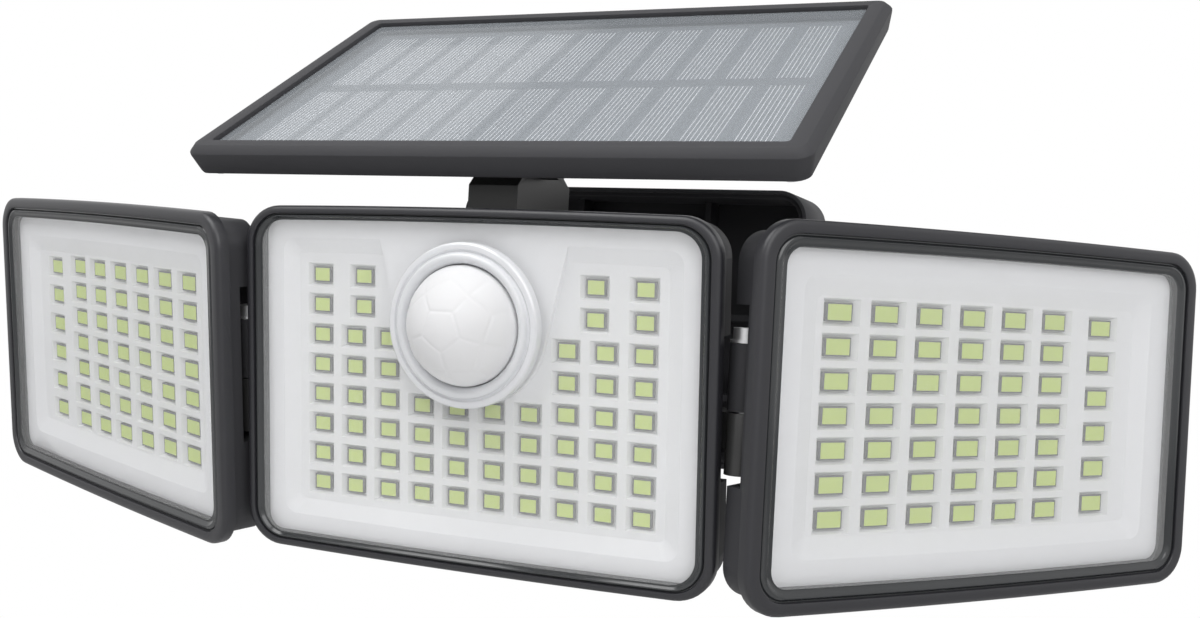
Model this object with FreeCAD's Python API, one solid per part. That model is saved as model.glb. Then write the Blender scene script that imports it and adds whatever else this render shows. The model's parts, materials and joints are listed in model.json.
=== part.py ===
import FreeCAD, Part
import math
import os
from dataclasses import dataclass

# Solar motion sensor security light for a wall: a centre lamp with the motion sensor, two side
# lamps on swivel arms, and a solar panel on a post, all carried by one tilting wall bracket.
#
# Frame: millimetres, +Z up, the light faces -Y, and the wall is the plane y = 0. The origin is
# the centre of the bracket's four wall screws.
#
# Each lamp is first drawn in its own lamp frame: x to the right, y backwards from the front
# edge of the rim, z up. "Back" sizes below are measured from that front edge.

# ---------------------------------------------------------------- where things stand
FACE_TO_WALL = 111.0         # centre lamp's front to the wall
CENTRE_DROP = 16.0           # centre lamp's middle below the middle of the bracket
CENTRE_LEAN = 6.0            # centre lamp's face looks down by this angle
PANEL_TILT = 31.9            # solar panel's slope, front edge low
RIGHT_PAN = 50.95            # right lamp turned outwards
LEFT_PAN = 22.49             # left lamp turned outwards
RIGHT_ARM_TILT = 0.77        # swivel arms' own tilt about their cross axis
LEFT_ARM_TILT = 7.4

# ---------------------------------------------------------------- lamps
CENTRE_WIDTH = 112.0
SIDE_WIDTH = 125.0
LAMP_HEIGHT = 78.0
LAMP_CORNER = 8.5            # outer corner radius of a lamp's rim
EDGE_CROWN = 0.6             # top and bottom edges bulge by this much in the middle
RIM_DEPTH = 3.0              # front frame, front to back
RIM_EDGE_ROUND = 0.9
CENTRE_STEP = 1.2            # a housing's band stands in from the rim by this much
SIDE_STEP = 2.0
BAND_BACK = 11.0             # back edge of the housing's straight band
HOUSING_WALL = 1.6
SIDE_BACK = 17.0             # back of a side lamp's housing
SIDE_BACK_INSET = 13.0       # its flat back, in from the rim's edge
SIDE_BACK_CORNER = 5.0
SIDE_ROOM_STEP = 1.0         # the room inside stands in from the flat back by this much
LENS_SINK = 0.8              # lens lies this deep in the rim
LENS_THICKNESS = 1.8
LENS_OVERLAP = 0.4           # rim laps over the lens
REFLECTOR_GAP = 0.2          # lens to reflector
REFLECTOR_DEPTH = 3.2
REFLECTOR_PLATE = 1.2        # reflector's flat border is a thin plate
REFLECTOR_SIDE_WALL = 0.4    # deeper middle starts this far outside the sloping wall
REFLECTOR_CORNER = 3.6
WELL_DEPTH = 1.6             # floor of the well below the reflector's border
WELL_CORNER = 3.0
WELL_FLOOR_CORNER = 1.5
BOARD_THICKNESS = 1.4
BOARD_LAP = 1.0              # LED board laps behind the reflector's border, above and below
BOARD_CORNER = 2.0
LED_THICKNESS = 0.9
LED_GAP = 0.25               # pit wall to chip, at the bottom of the pit
FLANGE_THICKNESS = 1.4       # inner ledge of the housing, round the reflector
FIT_GAP = 0.1                # side gap between pieces that only drop into each other
RUNNING_GAP = 0.05           # radial gap of every turning pin
GASKET_INSET = 0.9           # gasket ends this far short of the reflector
CLIP_LENGTH = 8.0            # snap tabs of the lens, two at each side edge
CLIP_THICKNESS = 0.8
CLIP_DEPTH = 2.2
CLIP_RISE = 24.0
CLIP_GAP = 0.1
POST_RADIUS = 3.0            # posts that carry the LED board
POST_INSET = 1.0             # post's side to the board's edge

# ---------------------------------------------------------------- faces of the lamps
CENTRE_RIM_SIDE = 2.1        # rim's visible face at the sides, and above and below
CENTRE_RIM_TOP = 1.7
CENTRE_WHITE_SIDE = 4.3      # rim's outer edge to the white reflector
CENTRE_WHITE_TOP = 3.2
CENTRE_BORDER_SIDE = 4.2     # reflector's flat border
CENTRE_BORDER_TOP = 4.0
CENTRE_SLOPE = 3.4           # width of the well's sloping wall
CENTRE_CHIP_X = 4.3
CENTRE_CHIP_Z = 3.5
CENTRE_PIT_X = 6.6           # pit's mouth at the floor
CENTRE_PIT_Z = 5.2
SIDE_RIM_SIDE = 3.2
SIDE_RIM_TOP = 2.8
SIDE_WHITE_SIDE = 6.4
SIDE_WHITE_TOP = 5.4
SIDE_BORDER_SIDE = 6.0
SIDE_BORDER_TOP = 5.0
SIDE_SLOPE = 4.2
SIDE_CHIP_X = 6.6
SIDE_CHIP_Z = 3.9
SIDE_PIT_X = 9.4
SIDE_PIT_Z = 5.6

# ---------------------------------------------------------------- LED layout
CENTRE_PITCH_X = 8.6
CENTRE_PITCH_Z = 6.75
CENTRE_COLUMNS = 10
CENTRE_ROWS = 8
CENTRE_GRID_DROP = 0.33
CENTRE_INNER_SQUEEZE = 0.97  # rows under the sensor stand slightly closer
CENTRE_UPPER_SHIFT = 1.27    # second column of the two top rows, in pitches from the outer one
SIDE_PITCH_X = 12.15
SIDE_PITCH_Z = 6.97
SIDE_COLUMNS = 6
SIDE_ROWS = 7
SIDE_GRID_SHIFT = 9.07       # six-column grid's middle, towards the centre lamp
SIDE_END_COLUMN = 45.17      # seventh column, from the middle of the six
SIDE_END_PITCH_Z = 7.99
SIDE_END_ROWS = 6

# ---------------------------------------------------------------- motion sensor
SENSOR_RISE = 14.4           # above the middle of the centre lamp
RING_RADIUS = 17.6
RING_THROAT = 13.0           # radius of the hole that the dome comes through
RING_FRONT = 2.4             # ring stands out in front of the rim
RING_EDGE_BEVEL = 1.4
RING_THROAT_BEVEL = 1.6      # bevel down to the throat: width, then depth
RING_THROAT_DEPTH = 1.2
RING_LENS_HOLE = 15.8
RING_FLANGE = 1.6
DOME_HEIGHT = 9.6
DOME_WALL = 1.0
DOME_FOOT = 2.0              # dome's collar laps over the back of the LED board
COLLAR_THICKNESS = 1.0
SENSOR_BOARD_THICKNESS = 1.0
FAIRING_HALF_TOP = 22.7      # half width of the white fairing at the top border
FAIRING_LAP = 1.0            # fairing runs into the top border by this much
PIR_CAN_RADIUS = 4.6
PIR_CAN_LENGTH = 4.4
PIR_CAN_FLANGE = 0.5
PIR_CAN_LAP = 0.5            # can's flange stands out round it

# ---------------------------------------------------------------- centre body behind the lamp
BODY_WIDTH = 86.0
BODY_HEIGHT = 58.0
BODY_CORNER = 6.0
SHOULDER_STEP_SIDE = 3.0     # shoulder starts this far inside the band
SHOULDER_STEP_TOP = 2.0
BODY_RISE = -2.0             # middle of the body's box above the lamp's middle
BODY_SHOULDER = 17.0         # back sizes of the body
BODY_SPLIT = 31.0
BODY_BACK = 43.0
BODY_WALL = 2.2
COVER_SEAL = 0.8
COVER_EDGE_ROUND = 2.0
COVER_SCREW_INSET = 5.2
COVER_POST_RADIUS = 3.2
COVER_POST_REACH = 3.0       # cover-screw posts start this far in front of the shoulder's end
COVER_SCREW_SINK = 1.0
COVER_SEAL_INSET = 0.3
CRADLE_INSET = 23.0          # battery's cradle ribs in the rear cover, in from the flanks
CRADLE_THICKNESS = 2.0
BATTERY_GAP = 0.3
BATTERY_RADIUS = 9.0
BATTERY_END_ROOM = 10.5      # battery's can to the body's flank; leaves a 65 mm cell
BATTERY_CAP_RADIUS = 2.8
BATTERY_CAP = 1.2
CONTROL_BOARD_INSET = 15.0   # board's ends, in from the body's flanks
CONTROL_BOARD_HEIGHT = 22.0
CONTROL_BOARD_DROP = 4.0     # its middle below the body's middle
STANDOFF_LENGTH = 4.0
STANDOFF_RADIUS = 1.5
STANDOFF_INSET = 4.0

# ---------------------------------------------------------------- side lamps' hinges
ARM_AXIS_BACK = 17.17        # cross axis of both swivel arms, from the centre lamp's face
ARM_AXIS_RISE = 1.0
PIN_STANDS_OUT = 3.2         # upright hinge screws, outside the centre lamp's edge
PIN_BACK = 6.57
PIN_RISE = 0.51
PIN_FROM_EDGE = 5.0          # hinge screw inside the side lamp's inner edge
PIN_FROM_FACE = 11.0         # and behind its front
KNUCKLE_RADIUS = 3.3         # side lamp's hinge barrel
KNUCKLE_BOTTOM = 0.3
KNUCKLE_TOP = 13.8
KNUCKLE_WEB = 4.4            # web from the barrel to the pocket's floor
LUG_BOTTOM = -12.3           # swivel arm's lug under the barrel
HINGE_GAP = 0.3              # running gap between barrel and lug
PAN_SCREW_RADIUS = 1.6
PAN_SCREW_HEAD_RADIUS = 2.8
PAN_SCREW_HEAD = 2.4
PAN_SOCKET = 2.5             # hex socket across its flats
PAN_SOCKET_DEPTH = 1.4
PAN_SCREW_FLOOR = 1.5        # lug's closed bottom under the screw's thread
PAN_WASHER_RADIUS = 3.3
PAN_WASHER = 0.6
ARM_BOSS_RADIUS = 7.4
ARM_BOSS_GAP = 0.3           # arm's boss to the body's flank
ARM_BOSS_LENGTH = 5.0
ARM_SPIGOT_RADIUS = 4.0
ARM_WEB_BOTTOM = -7.2        # web between boss and lug, below the hinge's middle
ARM_WEB_HALF = 3.0
ARM_SCREW_REACH = 2.0        # arm screw's thread, past the body's flank
ARM_WASHER = 0.8
ARM_WASHER_LAP = 2.0         # washer's edge outside the spigot
BUSH_INSIDE = 1.4            # the flank's bush stands this far into the body
POCKET_WALL = 1.2
POCKET_SKIN = 0.8            # pocket's front wall, behind the reflector's border
POCKET_REACH = 10.2          # hinge pocket, in from the side lamp's edge
POCKET_FRONT = 6.5
POCKET_BOTTOM = -14.4
POCKET_TOP = 21.5
NOTCH_REACH = 6.5            # hinge notch, in from the centre lamp's edge
NOTCH_FRONT = 4.9
NOTCH_INNER_FRONT = 8.4      # notch goes on to the body's flank behind the LED board
NOTCH_BOTTOM = -15.0
NOTCH_TOP = 14.6

# ---------------------------------------------------------------- wall bracket
BRACKET_WIDTH = 100.0
BRACKET_HEIGHT = 74.0
BRACKET_DEPTH = 23.0
BRACKET_CORNER = 7.5
BRACKET_WALL = 2.2
BRACKET_BACK = 3.0
BRACKET_LIP = 0.9            # step of the open front edge
WALL_SCREW_X = 76.0
WALL_SCREW_Z = 54.0
WALL_SCREW_RADIUS = 2.5
PEDESTAL_WIDTH = 40.0
PEDESTAL_HEIGHT = 34.0
PEDESTAL_FRONT = 9.0         # pedestal's face, back from the bracket's open edge
PEDESTAL_WALL = 3.0
PEDESTAL_FACE = 4.0          # thickness behind its face
RIB_THICKNESS = 1.8
RIB_HEIGHT = 7.0
RIB_INSET = 5.0              # cross ribs lie inside the pedestal's top and bottom by this

# ---------------------------------------------------------------- body tilt hinge
TILT_AXIS_BACK = 62.0        # from the centre lamp's face
TILT_AXIS_RISE = 8.0
TONGUE_WIDTH = 12.0
TONGUE_RADIUS = 8.0
TONGUE_ROOT = 6.0            # tongue is drawn from this far inside the rear cover
TONGUE_BELOW = 13.0          # its root reaches this far below and above the hinge
TONGUE_ABOVE = 11.0
EAR_THICKNESS = 5.0
EAR_GAP = 0.3
EAR_ROOT_INSET = 3.0         # ears' roots inside the pedestal's top and bottom
TILT_BOLT_RADIUS = 2.5
TILT_BOLT_HEAD_RADIUS = 4.4
TILT_BOLT_HEAD = 3.4
TILT_NUT_RADIUS = 4.6
TILT_NUT_THICKNESS = 4.0
TILT_BOLT_END = 1.0          # bolt's end past its nut

# ---------------------------------------------------------------- panel post
POST_WIDTH = 12.0
POST_FRONT = 8.0
POST_BACK = 35.5
POST_SHOULDER = 47.0         # top of the post's block above the lamp's middle
POST_FRONT_DROP = 2.0        # its front edge lies lower
POST_ROOT = 12.0             # post is drawn from this far under the body's top
POST_FOOT_PLATE = 3.0
POST_FOOT_WIDTH = 30.0
POST_FOOT_LAP = 4.0          # foot laps up the housing's shoulder
POST_FOOT_INSET = 0.5
POST_SCREW_ROOM = 10.0       # room over the foot's screws
PANEL_AXIS_BACK = 21.0
PANEL_AXIS_RISE = 52.6
PANEL_KNUCKLE_RADIUS = 5.0
PANEL_EAR_THICKNESS = 3.6
PANEL_BOLT_RADIUS = 2.0
PANEL_BOLT_HEAD_RADIUS = 3.6
PANEL_BOLT_HEAD = 2.2

# ---------------------------------------------------------------- solar panel
PANEL_WIDTH = 145.8
PANEL_DEPTH = 88.6
PANEL_THICKNESS = 7.2
PANEL_CORNER = 3.5
PANEL_CENTRE_BACK = 31.65
PANEL_CENTRE_RISE = 74.25    # middle of the panel's top face
PANEL_BORDER_SIDE = 3.6
PANEL_BORDER_FRONT = 3.0
PANEL_CHAMFER = 1.6
PANEL_DRAFT = 1.2            # frame's wall leans in by this much at the bottom
PANEL_MOUTH_CORNER = 1.0
PANEL_SEAT_CORNER = 1.5
PANEL_EAR_SPREAD_UP = 4.0    # ears widen up the slope and down it, towards their roots
PANEL_EAR_SPREAD_DOWN = 2.0
GLASS_SINK = 1.2
GLASS_THICKNESS = 2.4
CELL_THICKNESS = 0.4
CELL_COLUMNS = 11
CELL_MARGIN_SIDE = 5.5
CELL_MARGIN_END = 3.0
CELL_GAP_X = 1.0
CELL_GAP_ROWS = 5.2
PANEL_BACK_THICKNESS = 1.8
PANEL_BACK_MARGIN = 3.2
PANEL_RING = 2.0             # back cover's upright ring under the glass
PANEL_SCREW_RADIUS = 1.0
PANEL_SCREW_HEAD_RADIUS = 1.9
PANEL_SCREW_HEAD = 1.0
PANEL_SCREW_LENGTH = 3.0
PANEL_SCREW_INSET = 5.4
PANEL_BLOCK = 2.9            # frame's corner blocks for those screws, past the glass seat

# ---------------------------------------------------------------- mode button
BUTTON_RADIUS = 5.0
BUTTON_STANDS_OUT = 1.6
BUTTON_TRAVEL = 1.2
BUTTON_COLLAR = 1.2
BUTTON_COLLAR_THICKNESS = 1.0
BUTTON_INSET = 19.0          # button's middle, in from the body's left flank
BUTTON_GUIDE_GAP = 0.15
BUTTON_EDGE_ROUND = 0.6
SWITCH_SIZE = 6.0
SWITCH_HEIGHT = 4.0
SWITCH_GAP = 0.2             # pressed button's collar to the switch
SWITCH_CARRIER = 1.2         # carrier plate's thickness
SWITCH_CARRIER_HALF = 8.0
SWITCH_LEG = 1.4

# ---------------------------------------------------------------- screws and joints in general
SCREW_RADIUS = 1.5           # small housing screws
SCREW_HEAD_RADIUS = 2.7
SCREW_HEAD = 1.8
SCREW_LENGTH = 9.0
SCREW_TIP_GAP = 1.0
SCREW_SLOT_DEPTH = 0.7
SCREW_SLOT_WIDTH = 0.7
THREAD_GAP = 0.02
OVERRUN = 1.0                # a cut or a root runs on past a surface by this much
BITE = 0.5                   # joined forms reach into each other by this much

# ---------------------------------------------------------------- values worked out from those
LENS_BACK = LENS_SINK + LENS_THICKNESS
GASKET_THICKNESS = RIM_DEPTH - LENS_BACK
REFLECTOR_FRONT = LENS_BACK + REFLECTOR_GAP
REFLECTOR_BACK = REFLECTOR_FRONT + REFLECTOR_DEPTH
FLOOR_FRONT = REFLECTOR_FRONT + WELL_DEPTH
BOARD_BACK = REFLECTOR_BACK + BOARD_THICKNESS
PIN_SIDE = CENTRE_WIDTH / 2 + PIN_STANDS_OUT
BATTERY_LENGTH = BODY_WIDTH - 2 * BATTERY_END_ROOM
CONTROL_BOARD_WIDTH = BODY_WIDTH - 2 * CONTROL_BOARD_INSET

X_AXIS = FreeCAD.Vector(1, 0, 0)
Y_AXIS = FreeCAD.Vector(0, 1, 0)
Z_AXIS = FreeCAD.Vector(0, 0, 1)


@dataclass(frozen=True)
class Lamp:
    """One lamp's own sizes. inner is the side of the hinge: -1 left edge, +1 right edge, 0 none."""

    name: str
    width: float
    rim_side: float          # rim's visible face at the sides, and above and below
    rim_top: float
    white_side: float        # rim's outer edge to the white reflector
    white_top: float
    border_side: float       # reflector's flat border
    border_top: float
    slope: float             # width of the well's sloping wall
    chip_x: float
    chip_z: float
    pit_x: float             # pit's mouth at the floor
    pit_z: float
    step: float              # housing's band, in from the rim's edge
    inner: int

    @property
    def bend(self):
        """Radius of the crowned top and bottom edges."""
        half = self.width / 2
        return (half ** 2 + EDGE_CROWN ** 2) / (2 * EDGE_CROWN)


def side_lamp(name, inner):
    """One side lamp; both have the same sizes."""
    return Lamp(name, SIDE_WIDTH, SIDE_RIM_SIDE, SIDE_RIM_TOP, SIDE_WHITE_SIDE, SIDE_WHITE_TOP,
                SIDE_BORDER_SIDE, SIDE_BORDER_TOP, SIDE_SLOPE, SIDE_CHIP_X, SIDE_CHIP_Z,
                SIDE_PIT_X, SIDE_PIT_Z, SIDE_STEP, inner)


CENTRE = Lamp("centre", CENTRE_WIDTH, CENTRE_RIM_SIDE, CENTRE_RIM_TOP, CENTRE_WHITE_SIDE,
              CENTRE_WHITE_TOP, CENTRE_BORDER_SIDE, CENTRE_BORDER_TOP, CENTRE_SLOPE,
              CENTRE_CHIP_X, CENTRE_CHIP_Z, CENTRE_PIT_X, CENTRE_PIT_Z, CENTRE_STEP, 0)
RIGHT = side_lamp("right", -1)
LEFT = side_lamp("left", 1)


# ================================================================ drawing helpers
def vec(x, y, z):
    """Short name for a vector."""
    return FreeCAD.Vector(x, y, z)


def line(a, b):
    """Straight edge."""
    return Part.LineSegment(a, b).toShape()


def arc(a, mid, b):
    """Circular edge through three points."""
    return Part.Arc(a, mid, b).toShape()


def lamp_outline(lamp, side, top, corner, y):
    """Crowned outline of a lamp, stepped in by side and top from the rim's outer edge."""
    half = lamp.width / 2 - side
    high = LAMP_HEIGHT / 2 - top
    bend = lamp.bend
    crown_z = high - bend
    foot_x = half - corner
    foot_z = crown_z + math.sqrt((bend - corner) ** 2 - foot_x ** 2)
    unit_x = foot_x / (bend - corner)
    unit_z = (foot_z - crown_z) / (bend - corner)
    touch = (unit_x * bend, crown_z + unit_z * bend)
    mid_x = 1 + unit_x
    mid_z = unit_z
    size = math.hypot(mid_x, mid_z)
    middle = (foot_x + corner * mid_x / size, foot_z + corner * mid_z / size)

    def at(sx, sz, point):
        return vec(sx * point[0], y, sz * point[1])

    edge = (half, foot_z)
    summit = (0, high)
    edges = [
        line(at(1, -1, edge), at(1, 1, edge)),
        arc(at(1, 1, edge), at(1, 1, middle), at(1, 1, touch)),
        arc(at(1, 1, touch), at(1, 1, summit), at(-1, 1, touch)),
        arc(at(-1, 1, touch), at(-1, 1, middle), at(-1, 1, edge)),
        line(at(-1, 1, edge), at(-1, -1, edge)),
        arc(at(-1, -1, edge), at(-1, -1, middle), at(-1, -1, touch)),
        arc(at(-1, -1, touch), at(-1, -1, summit), at(1, -1, touch)),
        arc(at(1, -1, touch), at(1, -1, middle), at(1, -1, edge)),
    ]
    return Part.Wire(edges)


def rounded_box_outline(width, height, corner, y, rise=0.0, shift=0.0):
    """Rectangle with round corners, standing in the plane y."""
    half = width / 2
    high = height / 2
    cut = corner * (1 - math.sqrt(0.5))
    edges = []
    for sx, sz in ((1, 1), (-1, 1), (-1, -1), (1, -1)):
        side = vec(shift + sx * half, y, rise + sz * (high - corner))
        mid = vec(shift + sx * (half - cut), y, rise + sz * (high - cut))
        top = vec(shift + sx * (half - corner), y, rise + sz * high)
        start, end = (side, top) if sx * sz > 0 else (top, side)
        if edges:
            edges.append(line(edges[-1].valueAt(edges[-1].LastParameter), start))
        edges.append(arc(start, mid, end))
    first = edges[0].valueAt(edges[0].FirstParameter)
    edges.append(line(edges[-1].valueAt(edges[-1].LastParameter), first))
    return Part.Wire(edges)


def prism(wire, depth):
    """Solid from an outline, extended backwards by depth."""
    return Part.Face(wire).extrude(vec(0, depth, 0))


def loft(*wires):
    """Solid with straight walls between two or more outlines."""
    return Part.makeLoft(list(wires), True, True)


def box(x0, x1, y0, y1, z0, z1):
    """Box between two corners."""
    return Part.makeBox(x1 - x0, y1 - y0, z1 - z0, vec(x0, y0, z0))


def rod(radius, start, end, centre_a, centre_b, axis):
    """Round rod from start to end along axis; the two centre values are the other coordinates."""
    if axis == "x":
        return Part.makeCylinder(radius, end - start, vec(start, centre_a, centre_b), X_AXIS)
    if axis == "y":
        return Part.makeCylinder(radius, end - start, vec(centre_a, start, centre_b), Y_AXIS)
    return Part.makeCylinder(radius, end - start, vec(centre_a, centre_b, start), Z_AXIS)


def hexagon(across_flats, start, end, centre_a, centre_b, axis):
    """Six-sided prism along axis."""
    corner = across_flats / math.sqrt(3)
    points = []
    for k in range(7):
        angle = math.radians(60 * k)
        u = corner * math.cos(angle)
        v = corner * math.sin(angle)
        if axis == "x":
            points.append(vec(start, centre_a + u, centre_b + v))
        elif axis == "y":
            points.append(vec(centre_a + u, start, centre_b + v))
        else:
            points.append(vec(centre_a + u, centre_b + v, start))
    direction = {"x": X_AXIS, "y": Y_AXIS, "z": Z_AXIS}[axis]
    return Part.Face(Part.makePolygon(points)).extrude(direction * (end - start))


def join(shapes):
    """One solid from several that touch or overlap."""
    shapes = list(shapes)
    return shapes[0].fuse(shapes[1:]).removeSplitter()


def group(shapes):
    """Several separate solids in one piece."""
    return Part.makeCompound(list(shapes))


def frustum(cx, cz, mouth_x, mouth_z, end_x, end_z, y0, y1):
    """Tapered square pit from its mouth at y0 to its end at y1."""
    wires = []
    for y, sx, sz in ((y0, mouth_x, mouth_z), (y1, end_x, end_z)):
        corners = [vec(cx - sx / 2, y, cz - sz / 2), vec(cx + sx / 2, y, cz - sz / 2),
                   vec(cx + sx / 2, y, cz + sz / 2), vec(cx - sx / 2, y, cz + sz / 2)]
        wires.append(Part.makePolygon(corners + corners[:1]))
    return loft(*wires)


# ================================================================ where the LEDs sit
def centre_led_places():
    """LED middles of the centre lamp, column by column, clear of the sensor."""
    places = []
    half = (CENTRE_COLUMNS - 1) / 2
    bottom = -(CENTRE_ROWS - 1) / 2 * CENTRE_PITCH_Z - CENTRE_GRID_DROP
    for row in range(CENTRE_ROWS):
        above = CENTRE_ROWS - 1 - row
        z = bottom + above * CENTRE_PITCH_Z
        for column in range(CENTRE_COLUMNS):
            x = (column - half) * CENTRE_PITCH_X
            from_edge = min(column, CENTRE_COLUMNS - 1 - column)
            if row < 2:
                if from_edge > 1:
                    continue
                if from_edge == 1:
                    outer = half * CENTRE_PITCH_X
                    x = math.copysign(outer - CENTRE_UPPER_SHIFT * CENTRE_PITCH_X, x)
            elif row < 4 and from_edge > 2:
                continue
            height = z
            if from_edge > 2:
                height = bottom + above * CENTRE_PITCH_Z * CENTRE_INNER_SQUEEZE
            places.append((x, height))
    return places


def side_led_places(lamp):
    """LED middles of a side lamp: six columns and one shorter, wider spaced end column."""
    places = []
    outward = -lamp.inner
    for column in range(SIDE_COLUMNS):
        x = (column - (SIDE_COLUMNS - 1) / 2) * SIDE_PITCH_X - SIDE_GRID_SHIFT
        for row in range(SIDE_ROWS):
            places.append((outward * x, ((SIDE_ROWS - 1) / 2 - row) * SIDE_PITCH_Z))
    for row in range(SIDE_END_ROWS):
        z = ((SIDE_END_ROWS - 1) / 2 - row) * SIDE_END_PITCH_Z
        places.append((outward * (SIDE_END_COLUMN - SIDE_GRID_SHIFT), z))
    return places


def led_places(lamp):
    """LED middles of either kind of lamp."""
    return side_led_places(lamp) if lamp.inner else centre_led_places()


# ================================================================ pieces that every lamp has
def clip_blocks(lamp, extra):
    """Snap tabs of a lens, or with extra their windows in the housing: two at each side edge."""
    middle = lamp.width / 2 - lamp.white_side + 2 * CLIP_GAP + CLIP_THICKNESS / 2
    long = CLIP_LENGTH / 2 + extra
    thick = CLIP_THICKNESS / 2 + extra
    y0 = LENS_BACK - extra
    y1 = LENS_BACK + CLIP_DEPTH + extra
    blocks = []
    for x in (-middle, middle):
        for z in (-CLIP_RISE, CLIP_RISE):
            blocks.append(box(x - thick, x + thick, y0, y1, z - long, z + long))
    return blocks


def front_frame(lamp):
    """Black rim: rounded outer edge, an opening for the lens and a seat behind it."""
    outer = prism(lamp_outline(lamp, 0, 0, LAMP_CORNER, 0), RIM_DEPTH)
    front_edges = [e for e in outer.Edges if abs(e.CenterOfMass.y) < 1e-6]
    outer = outer.makeFillet(RIM_EDGE_ROUND, front_edges)
    mouth = prism(lamp_outline(lamp, lamp.rim_side, lamp.rim_top,
                               LAMP_CORNER - lamp.rim_top, -OVERRUN), LENS_SINK + 2 * OVERRUN)
    seat = prism(lamp_outline(lamp, lamp.rim_side - LENS_OVERLAP, lamp.rim_top - LENS_OVERLAP,
                              LAMP_CORNER - lamp.rim_top + LENS_OVERLAP, LENS_SINK), RIM_DEPTH)
    return outer.cut([mouth, seat])


def lens_outline(lamp, y):
    """Outline of the lens, a small gap inside its seat."""
    gap = FIT_GAP - LENS_OVERLAP
    return lamp_outline(lamp, lamp.rim_side + gap, lamp.rim_top + gap,
                        LAMP_CORNER - lamp.rim_top - gap, y)


def lens(lamp):
    """Clear front plate with its snap tabs; the centre one has the sensor's hole."""
    plate = prism(lens_outline(lamp, LENS_SINK), LENS_THICKNESS)
    plate = join([plate] + clip_blocks(lamp, 0))
    if not lamp.inner:
        plate = plate.cut(rod(RING_LENS_HOLE, LENS_SINK - OVERRUN, LENS_BACK + OVERRUN, 0,
                              SENSOR_RISE, "y"))
    return plate


def gasket(lamp):
    """Thin seal between the lens and the housing's front edge."""
    outer = prism(lens_outline(lamp, LENS_BACK), GASKET_THICKNESS)
    inner = prism(lamp_outline(lamp, lamp.white_side - GASKET_INSET, lamp.white_top
                               - GASKET_INSET, REFLECTOR_CORNER + GASKET_INSET,
                               LENS_BACK - OVERRUN), GASKET_THICKNESS + 2 * OVERRUN)
    return outer.cut([inner] + clip_blocks(lamp, CLIP_GAP))


def fairing_outline(y):
    """White fairing round the sensor: a V from the top border that runs into a round end."""
    top = LAMP_HEIGHT / 2 - CENTRE.white_top - CENTRE.border_top + FAIRING_LAP
    reach = math.hypot(FAIRING_HALF_TOP, top - SENSOR_RISE)
    turn = math.atan2(top - SENSOR_RISE, FAIRING_HALF_TOP) - math.acos(RING_RADIUS / reach)
    touch = (RING_RADIUS * math.cos(turn), SENSOR_RISE + RING_RADIUS * math.sin(turn))
    right = vec(touch[0], y, touch[1])
    left = vec(-touch[0], y, touch[1])
    top_right = vec(FAIRING_HALF_TOP, y, top)
    top_left = vec(-FAIRING_HALF_TOP, y, top)
    edges = [line(top_left, top_right), line(top_right, right),
             arc(right, vec(0, y, SENSOR_RISE - RING_RADIUS), left), line(left, top_left)]
    return Part.Wire(edges)


def reflector(lamp):
    """White tray: flat border, sloping walls, and a floor with one tapered pit per LED."""
    side = lamp.white_side + lamp.border_side
    top = lamp.white_top + lamp.border_top
    plate = prism(lamp_outline(lamp, lamp.white_side, lamp.white_top, REFLECTOR_CORNER,
                               REFLECTOR_FRONT), REFLECTOR_PLATE)
    deep = prism(lamp_outline(lamp, side - REFLECTOR_SIDE_WALL, top - REFLECTOR_SIDE_WALL,
                              REFLECTOR_CORNER, REFLECTOR_FRONT), REFLECTOR_DEPTH)
    block = join([plate, deep])
    well = loft(lamp_outline(lamp, side, top, WELL_CORNER, REFLECTOR_FRONT),
                lamp_outline(lamp, side + lamp.slope, top + lamp.slope, WELL_FLOOR_CORNER,
                             FLOOR_FRONT))
    if not lamp.inner:
        fairing = prism(fairing_outline(REFLECTOR_FRONT - OVERRUN), WELL_DEPTH + OVERRUN)
        well = well.cut(fairing)
    end_x = lamp.chip_x + 2 * LED_GAP
    end_z = lamp.chip_z + 2 * LED_GAP
    pits = [frustum(x, z, lamp.pit_x, lamp.pit_z, end_x, end_z, FLOOR_FRONT, REFLECTOR_BACK)
            for x, z in led_places(lamp)]
    tray = block.cut(well).cut(group(pits))
    if not lamp.inner:
        tray = tray.cut(rod(RING_THROAT + RING_FLANGE, REFLECTOR_FRONT - OVERRUN,
                            REFLECTOR_BACK + OVERRUN, 0, SENSOR_RISE, "y"))
    return tray


def board_size(lamp):
    """Width and height of a lamp's LED board."""
    inset = lamp.white_side + lamp.border_side
    high = lamp.white_top + lamp.border_top - BOARD_LAP
    return lamp.width - 2 * inset, LAMP_HEIGHT - 2 * high


def led_board(lamp):
    """Board that the LEDs sit on, against the back of the reflector."""
    width, height = board_size(lamp)
    board = prism(rounded_box_outline(width, height, BOARD_CORNER, REFLECTOR_BACK), BOARD_THICKNESS)
    if not lamp.inner:
        board = board.cut(rod(RING_THROAT + RING_FLANGE, REFLECTOR_BACK - OVERRUN,
                              BOARD_BACK + OVERRUN, 0, SENSOR_RISE, "y"))
    return board


def leds(lamp):
    """All LED chips of one lamp, on the front of the board."""
    y0 = REFLECTOR_BACK - LED_THICKNESS
    half_x = lamp.chip_x / 2
    half_z = lamp.chip_z / 2
    return group(box(x - half_x, x + half_x, y0, REFLECTOR_BACK, z - half_z, z + half_z)
                 for x, z in led_places(lamp))


def post_places(lamp):
    """Four posts that carry the LED board."""
    width, height = board_size(lamp)
    x = width / 2 - POST_RADIUS - POST_INSET
    z = height / 2 - POST_RADIUS - POST_INSET
    return [(sx * x, sz * z) for sx in (-1, 1) for sz in (-1, 1)]


def band_outline(lamp, inset, y):
    """Outline of the housing's straight band, or inset from it."""
    step = lamp.step + inset
    return lamp_outline(lamp, step, step, LAMP_CORNER - step, y)


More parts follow.
